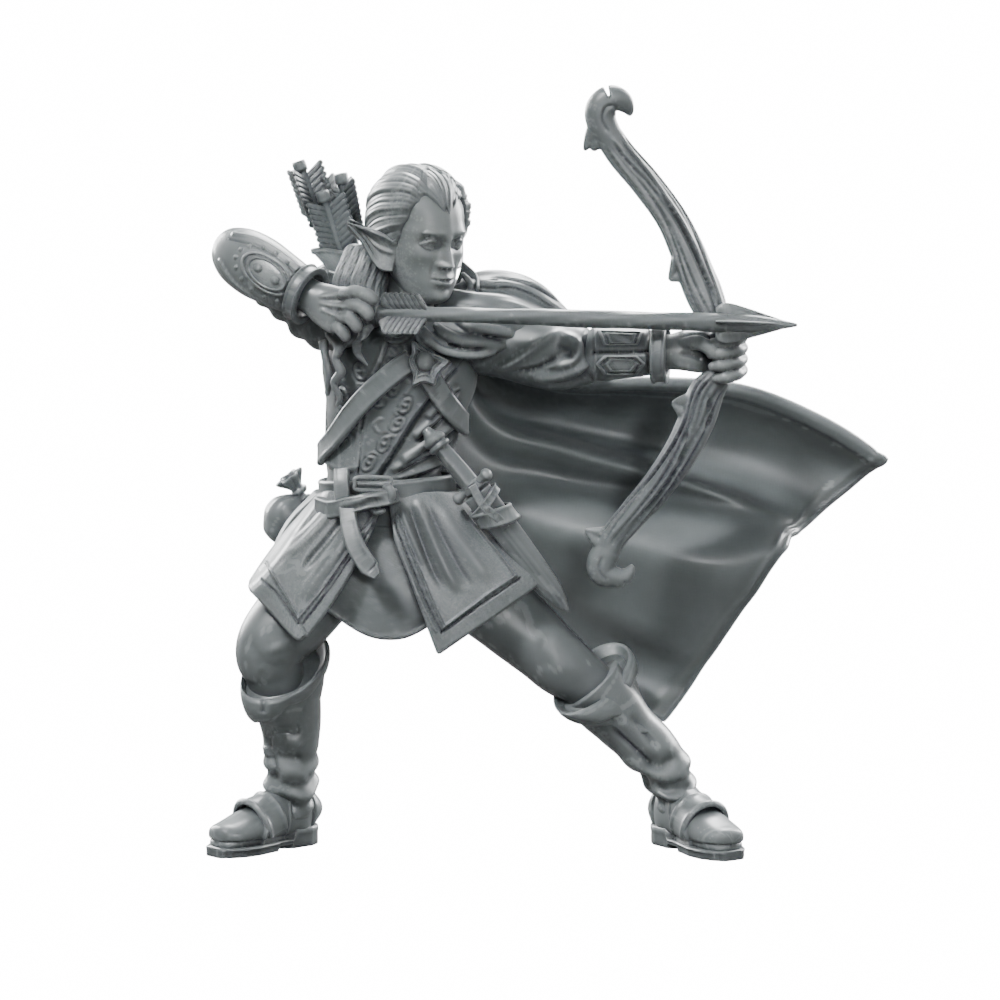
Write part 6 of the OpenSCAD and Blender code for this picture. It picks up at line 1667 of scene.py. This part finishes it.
profile = [(0.0, 0.02), (0.45, 0.02), (0.7, 0.06), (0.77, 0.18), (0.74, 0.3), (0.76, 0.42), (0.8, 2.0),
           (0.84, 2.1), (0.84, 2.3),
           (0.8, 2.4), (0.85, 4.4), (0.89, 4.5), (0.89, 4.7), (0.85, 4.8), (0.93, 7.2),
           (0.96, quiverLong - 0.08), (0.9, quiverLong),
           (0.78, quiverLong - 0.05), (0.75, quiverLong - 0.4), (0.74, quiverLong - 2.4),
           (0.4, quiverLong - 2.5), (0.0, quiverLong - 2.5)]


def turned(profile, place, count, around=80, wobble=None):
    line = smoothLine([(r, z, 0) for r, z in profile], count)
    q = np.linspace(0, 2 * math.pi, around, endpoint=False)
    grid = np.array([[place(max(r, 0.001) * math.cos(a) * (1 if wobble is None else wobble(a, z)),
                            max(r, 0.001) * math.sin(a) * (1 if wobble is None else wobble(a, z)),
                            z) for a in q]
                     for r, z, _ in line])
    n, m = grid.shape[:2]
    return Sculpt(grid.reshape(-1, 3), gridFaces(n, m, True))


tube = turned(profile, inQuiver, 130)
tube.roughen(1.6, 0.012, 91)
makePiece("quiver", tube.settle(), "cast_leather")
collarRounds = np.linspace(0, 2 * math.pi, 30, endpoint=False)
collar = strap([tuple(inQuiver(1.0 * math.cos(q), 1.0 * math.sin(q),
                               quiverLong - 0.6)) for q in collarRounds],
               [tuple(math.cos(q) * quiverX + math.sin(q) * quiverY) for q in collarRounds], 1.15, 0.18,
               130, 0.5, True, 32)
tongue = sheet([[(-9.35, 2.35, 24.0), (-8.9, 2.15, 23.5), (-8.5, 2.05, 23.0)],
                [(-8.9, 2.2, 24.05), (-8.5, 2.0, 23.5), (-8.15, 1.95, 22.9)],
                [(-8.2, 2.2, 23.95), (-8.0, 2.0, 23.35), (-7.75, 1.95, 22.75)],
                [(-7.55, 2.5, 23.75), (-7.4, 2.35, 23.15), (-7.3, 2.25, 22.6)]], 60, 50, 0.2, (0, -1, 0),
               lambda u, v: 0.06 * bump(v - 0.1, 0.05) + 0.05 * bump(v - 0.9, 0.05))
makePiece("quiver_collar", [collar, tongue], "cast_leather")
spares, spareVanes = [], []
spareArrows = (
    ((-0.25, -0.25), (-9.92, 3.0, 27.55), 100), ((0.42, 0.1), (-8.22, 3.35, 27.05), 35),
    ((0.05, -0.45), (-8.95, 2.55, 26.35), 70), ((0.0, 0.42), (-9.25, 3.9, 27.1), 15),
)
for (x, y), top, turn in spareArrows:
    root = inQuiver(x, y, quiverLong - 2.2)
    top = np.array(top)
    along = unit(top - root)
    long = np.linalg.norm(top - root)
    sx = unit(np.cross([0, 1.0, 0], along))
    sy = np.cross(along, sx)
    spares.append(turned([(0.0, 0), (0.2, 0), (0.2, 2.5), (0.21, long - 0.55), (0.27, long - 0.45),
                          (0.28, long - 0.06), (0.25, long),
                          (0.17, long), (0.14, long - 0.05), (0.13, long - 0.22), (0.0, long - 0.24)],
                         lambda a, b, c, o=root, e=sx, f=sy, g=along: o + a * e + b * f + c * g, 70, 28))
    for k in range(3):
        a = math.radians(turn + 30 + 120 * k)
        out = math.cos(a) * sx + math.sin(a) * sy
        spareVanes.append(vane(root + (long - 2.75) * along + 0.13 * out, along, out, 2.15, 0.82, 9, 0.24,
                               0.45))
makePiece("quiver_arrows", spares, "cast_wood")
makePiece("quiver_vanes", spareVanes, "cast_wood")


# sword at the belt

print("sword and pouch")
guardAt = np.array([-2.85, -3.05, 14.95])
hiltTo = unit([-1.65, 0.35, 2.0])
hiltX = unit(np.cross(hiltTo, [0.15, 1, 0.2]))
hiltY = np.cross(hiltTo, hiltX)


def onHilt(x, y, z):
    return guardAt + x * hiltX + y * hiltY + z * hiltTo


hilt = turned([(0.0, 0.05), (0.36, 0.05), (0.4, 0.3), (0.39, 1.0), (0.35, 1.75), (0.33, 1.9), (0.44, 1.97),
               (0.45, 2.1), (0.37, 2.18), (0.46, 2.28), (0.45, 2.42), (0.3, 2.6), (0.21, 2.78),
               (0.16, 2.9),
               (0.0, 2.95)], onHilt, 120, 60)
z = (hilt.points - guardAt) @ hiltTo
angle = np.arctan2((hilt.points - guardAt) @ hiltY, (hilt.points - guardAt) @ hiltX)
hilt.rise -= 0.07 * np.abs(np.sin(2 * angle)) * ease((z - 0.05) / 0.1) * ease((1.92 - z) / 0.1)
makePiece("sword_grip", hilt.settle(), "cast_leather")
bar = hiltX
guardParts = [wire([(*(guardAt - 0.98 * bar), 0.19), (*(guardAt - 0.75 * bar), 0.29),
                    (*(guardAt - 0.5 * bar), 0.19), (*guardAt, 0.21),
                    (*(guardAt + 0.5 * bar), 0.19), (*(guardAt + 0.75 * bar), 0.29),
                    (*(guardAt + 0.98 * bar), 0.19)], 80, 24, 0.9, (0, 1, 0), 0.12),
              loft([(*(guardAt - 0.26 * hiltTo), 0.46, 0.34), (*guardAt, 0.42, 0.33),
                    (*(guardAt + 0.24 * hiltTo), 0.36, 0.32)], tuple(bar), 20, 30, (0.08, 0.08))]
makePiece("sword_guard", guardParts, "cast_metal")

sheathTip = np.array([0.95, -2.2, 9.9])
sheathMouth = guardAt - 0.25 * hiltTo
sheathTo = unit(sheathTip - sheathMouth)
sheathLong = np.linalg.norm(sheathTip - sheathMouth)
sheathW = unit(np.array([1.0, 0, 0.8]) - np.dot([1.0, 0, 0.8], sheathTo) * sheathTo)
sheath = loft([(*(sheathMouth + s * sheathLong * sheathTo), a, b) for s, a, b in
               ((0, 0.6, 0.32), (0.25, 0.57, 0.32), (0.5, 0.53, 0.31), (0.78, 0.44, 0.27),
                (0.9, 0.3, 0.2), (1.0, 0.05, 0.07))],
              tuple(sheathW), 200, 60, (0.06, 0.1), None, 0.8)
along = (sheath.points - sheathMouth) @ sheathTo / sheathLong
edgeAt = np.abs((sheath.points - sheathMouth) @ sheathW)
sheath.rise += 0.05 * bump(edgeAt - 0.1, 0.06) * ease(along * 8) * ease((0.97 - along) * 8)
makePiece("scabbard", sheath.settle(), "cast_leather")
sheathD = np.cross(sheathTo, sheathW)
frogParts = []
for at, lean, wide in ((0.55, -0.22, 0.36), (1.22, 0.3, 0.74)):
    q = turns(36)
    ringPoints = [tuple(sheathMouth + (at + lean * math.cos(a)) * sheathTo + 0.62 * math.cos(a) * sheathW
                        + 0.37 * math.sin(a) * sheathD) for a in q]
    ringOut = [tuple(math.cos(a) * sheathW + math.sin(a) * sheathD) for a in q]
    frogParts.append(strap(ringPoints, ringOut, wide, 0.16, 110, 0.3, True, 26))
frogParts.append(strap([tuple(sheathMouth + 0.3 * sheathTo + np.array([-0.35, -0.32, 0.5])),
                        tuple(sheathMouth + 0.7 * sheathTo + np.array([-0.1, -0.42, 0])),
                        tuple(sheathMouth + 1.3 * sheathTo + np.array([0.1, -0.4, 0])),
                        tuple(sheathMouth + 1.75 * sheathTo + np.array([0.1, -0.3, 0]))],
                       [(0, -1, 0)] * 4, 0.34, 0.14, 50, 0.1))
frogParts.append(ball(sheathMouth + 0.75 * sheathTo + np.array([-0.05, -0.58, 0.0]), (0.12, 0.08, 0.12)))
makePiece("scabbard_frog", frogParts, "cast_leather")


# pouch

pouchAt = np.array([-10.3, 2.15, 13.05])
lean = turnAround([0, 1, 0], 24)


def onPouch(x, y, z):
    return pouchAt + lean @ np.array([x, y, z])


def pleats(a, z):
    return 1 + 0.05 * math.sin(9 * a + 0.6 * math.sin(3 * z)) * min(max((z + 0.4) / 1.2, 0), 1)


bag = turned([(0.0, -1.05), (0.45, -1.02), (0.85, -0.75), (1.03, -0.2), (1.05, 0.15), (0.93, 0.55),
              (0.62, 0.88), (0.36, 1.08), (0.28, 1.24), (0.0, 1.26)],
             onPouch, 90, 120, pleats)
bag.roughen(1.5, 0.03, 95)
makePiece("pouch", bag.settle(), "cast_leather")


def ruff(a, z):
    return 1 + 0.2 * math.sin(6 * a + 1.0) * min(max((z - 0.3) / 0.4, 0), 1)


ruffAt = onPouch(0.0, 0.0, 1.18)
ruffUp = unit([-0.55, -0.15, 0.8])
ruffX = unit(np.cross([0, 1.0, 0], ruffUp))
ruffY = np.cross(ruffUp, ruffX)
mouth = turned([(0.0, 0.0), (0.25, 0.0), (0.35, 0.1), (0.36, 0.2), (0.26, 0.32), (0.36, 0.55),
                (0.52, 0.82), (0.5, 0.92), (0.38, 0.88),
                (0.24, 0.7), (0.1, 0.6), (0.0, 0.58)], lambda x, y,
                z: ruffAt + x * ruffX + y * ruffY + z * ruffUp, 80, 120, ruff)
tieKnot = wire([tuple(onPouch(0.32, -0.05, 1.26)) + (0.08,), tuple(onPouch(0.25, -0.35, 1.22)) + (0.09,),
                tuple(onPouch(0.1, -0.5, 1.0)) + (0.07,)], 24, 12)
makePiece("pouch_neck", [mouth, tieKnot], "cast_leather")


# cloak

print("cloak")
cloakThick = 0.5
cloakRows = [
    [(-3.1, 1.3, 21.0), (-1.6, 1.9, 19.3), (1.0, 2.0, 18.5), (4.5, 2.0, 18.55), (8.0, 2.2, 18.25),
     (11.2, 2.6, 17.0), (13.9, 3.0, 15.4)],
    [(-3.5, 1.9, 20.9), (-1.8, 2.9, 18.6), (1.0, 3.5, 17.7), (4.5, 3.9, 17.3), (8.0, 4.0, 16.7),
     (11.0, 3.9, 15.5), (12.8, 3.8, 14.5)],
    [(-4.0, 2.0, 20.7), (-2.0, 3.0, 17.7), (0.8, 3.8, 16.7), (4.1, 4.2, 15.9), (7.4, 4.0, 15.0),
     (10.2, 3.8, 14.0), (11.4, 3.7, 13.4)],
    [(-4.5, 2.1, 20.6), (-2.2, 2.2, 17.1), (0.6, 2.1, 16.1), (3.9, 2.0, 15.15), (7.0, 1.9, 14.3),
     (9.5, 2.2, 13.3), (10.6, 2.9, 12.7)],
    [(-4.9, 2.3, 20.5), (-2.7, 2.3, 16.0), (0.1, 2.4, 14.9), (3.4, 2.3, 14.2), (6.5, 1.7, 13.6),
     (8.9, 1.5, 12.9), (10.0, 2.0, 12.5)],
    [(-5.5, 2.35, 20.4), (-3.3, 1.9, 14.6), (-0.4, 1.2, 13.2), (2.8, 0.5, 12.4), (5.6, 0.1, 11.7),
     (7.9, 0.3, 11.4), (9.4, 0.9, 11.6)],
    [(-6.1, 2.35, 20.4), (-4.3, 2.3, 13.6), (-1.6, 2.1, 11.6), (1.4, 1.9, 10.1), (4.2, 1.3, 9.0),
     (6.2, 1.2, 8.5), (7.3, 1.5, 8.4)],
    [(-7.0, 2.2, 20.4), (-6.0, 2.7, 13.0), (-2.8, 3.0, 10.6), (0.0, 3.1, 8.8), (2.8, 2.9, 7.4),
     (4.8, 2.6, 6.6), (5.9, 2.4, 6.3)],
    [(-8.4, 1.6, 20.3), (-8.3, 2.5, 14.0), (-5.0, 3.0, 10.7), (-1.8, 2.9, 8.4), (1.2, 2.6, 6.7),
     (3.4, 2.2, 5.6), (4.9, 2.0, 5.0)],
]


def cloakFolds(u, v):
    spread = ease(v * 1.6)
    soft = (0.03 * np.sin(2 * math.pi * (u * 5.2 + 0.25 * v))
            + 0.012 * np.sin(2 * math.pi * (u * 9.3 - 0.3 * v) + 1))
    hem = 0.1 * bump(u - 0.016, 0.014) + 0.07 * bump(v - 0.978, 0.01)
    return soft * spread + hem


cloth = sheet(cloakRows, 300, 320, cloakThick, (0, -1, 0), cloakFolds,
              lambda u, v: 1.0 - 0.25 * ease((v - 0.9) / 0.1))
pinCap = ball((-5.4, 3.26, 19.2), (0.6, 0.25, 0.6))   # covers the pin at the back
makePiece("cloak", [cloth, pinCap], "cast_cloth")


# setting: plain paper round the figure, soft studio light

print("setting")
studio = {
    "paperShade": 16.0,
    "paperForPiece": 0.06,
    "sky": 0.2,
    "key": 31.0,
    "front": 17.0,
    "keyCone": 8.7,
    "fill": 0.03,
    "rim": 1.35,
}


def paper():
    m = bpy.data.materials.new("paper")
    m.use_nodes = True
    tree = m.node_tree
    tree.nodes.clear()
    out = tree.nodes.new("ShaderNodeOutputMaterial")
    ray = tree.nodes.new("ShaderNodeLightPath")
    toCamera = tree.nodes.new("ShaderNodeEmission")
    toCamera.inputs["Color"].default_value = (1, 1, 1, 1)
    toCamera.inputs["Strength"].default_value = studio["paperShade"]
    toPiece = tree.nodes.new("ShaderNodeBsdfDiffuse")
    toPiece.inputs["Color"].default_value = (studio["paperForPiece"],) * 3 + (1,)
    mix = tree.nodes.new("ShaderNodeMixShader")
    link(tree, ray, "Is Camera Ray", mix, 0)
    tree.links.new(toPiece.outputs[0], mix.inputs[1])
    tree.links.new(toCamera.outputs[0], mix.inputs[2])
    tree.links.new(mix.outputs[0], out.inputs["Surface"])
    return m


def plane(name, corners, material):
    mesh = bpy.data.meshes.new(name)
    mesh.from_pydata(corners, [], [(0, 1, 2, 3)])
    mesh.materials.append(material)
    obj = bpy.data.objects.new(name, mesh)
    bpy.context.scene.collection.objects.link(obj)
    return obj


paperSheet = paper()
wide = 0.6
plane("table", [(-wide, -wide, -0.00002), (wide, -wide, -0.00002), (wide, wide, -0.00002),
                (-wide, wide, -0.00002)],
      paperSheet)

world = bpy.data.worlds.new("studio")
bpy.context.scene.world = world
world.use_nodes = True
tree = world.node_tree
tree.nodes.clear()
out = tree.nodes.new("ShaderNodeOutputWorld")
ray = tree.nodes.new("ShaderNodeLightPath")
seen = tree.nodes.new("ShaderNodeBackground")
seen.inputs["Strength"].default_value = studio["paperShade"]
seen.inputs["Color"].default_value = (1, 1, 1, 1)
cast = tree.nodes.new("ShaderNodeBackground")
cast.inputs["Strength"].default_value = studio["sky"]
cast.inputs["Color"].default_value = (0.95, 0.98, 1.0, 1)
mix = tree.nodes.new("ShaderNodeMixShader")
link(tree, ray, "Is Camera Ray", mix, 0)
tree.links.new(cast.outputs[0], mix.inputs[1])
tree.links.new(seen.outputs[0], mix.inputs[2])
tree.links.new(mix.outputs[0], out.inputs["Surface"])


def lamp(name, at, size, power):
    data = bpy.data.lights.new(name, "AREA")
    data.shape = "RECTANGLE"
    data.size, data.size_y = size
    data.energy = power
    obj = bpy.data.objects.new(name, data)
    bpy.context.scene.collection.objects.link(obj)
    obj.location = at
    aim = Vector((-0.002, 0, 0.014)) - obj.location
    obj.rotation_euler = aim.to_track_quat("-Z", "Y").to_euler()
    return obj


def beam(name, at, cone, soft, power):
    data = bpy.data.lights.new(name, "SPOT")
    data.energy = power
    data.spot_size = math.radians(cone)
    data.spot_blend = 1.0
    data.shadow_soft_size = soft
    obj = bpy.data.objects.new(name, data)
    bpy.context.scene.collection.objects.link(obj)
    obj.location = at
    obj.rotation_euler = (Vector((-0.002, 0, 0.02)) - obj.location).to_track_quat("-Z", "Y").to_euler()
    return obj


beam("key", (-0.1, -0.13, 0.2), studio["keyCone"], 0.045, studio["key"])
beam("front", (0.05, -0.22, 0.08), studio["keyCone"], 0.06, studio["front"])
lamp("fill", (0.16, -0.14, 0.06), (0.14, 0.14), studio["fill"])
lamp("rimRight", (0.13, 0.1, 0.09), (0.06, 0.12), studio["rim"] * 0.6)
lamp("rimTop", (0.03, 0.15, 0.19), (0.1, 0.08), studio["rim"] * 0.9)
lamp("rimLeft", (-0.12, 0.12, 0.08), (0.05, 0.1), studio["rim"] * 0.55)

pins = bpy.data.objects["kit_pins"]
pins.data.materials.clear()
pins.data.materials.append(materials["kit_pin"])
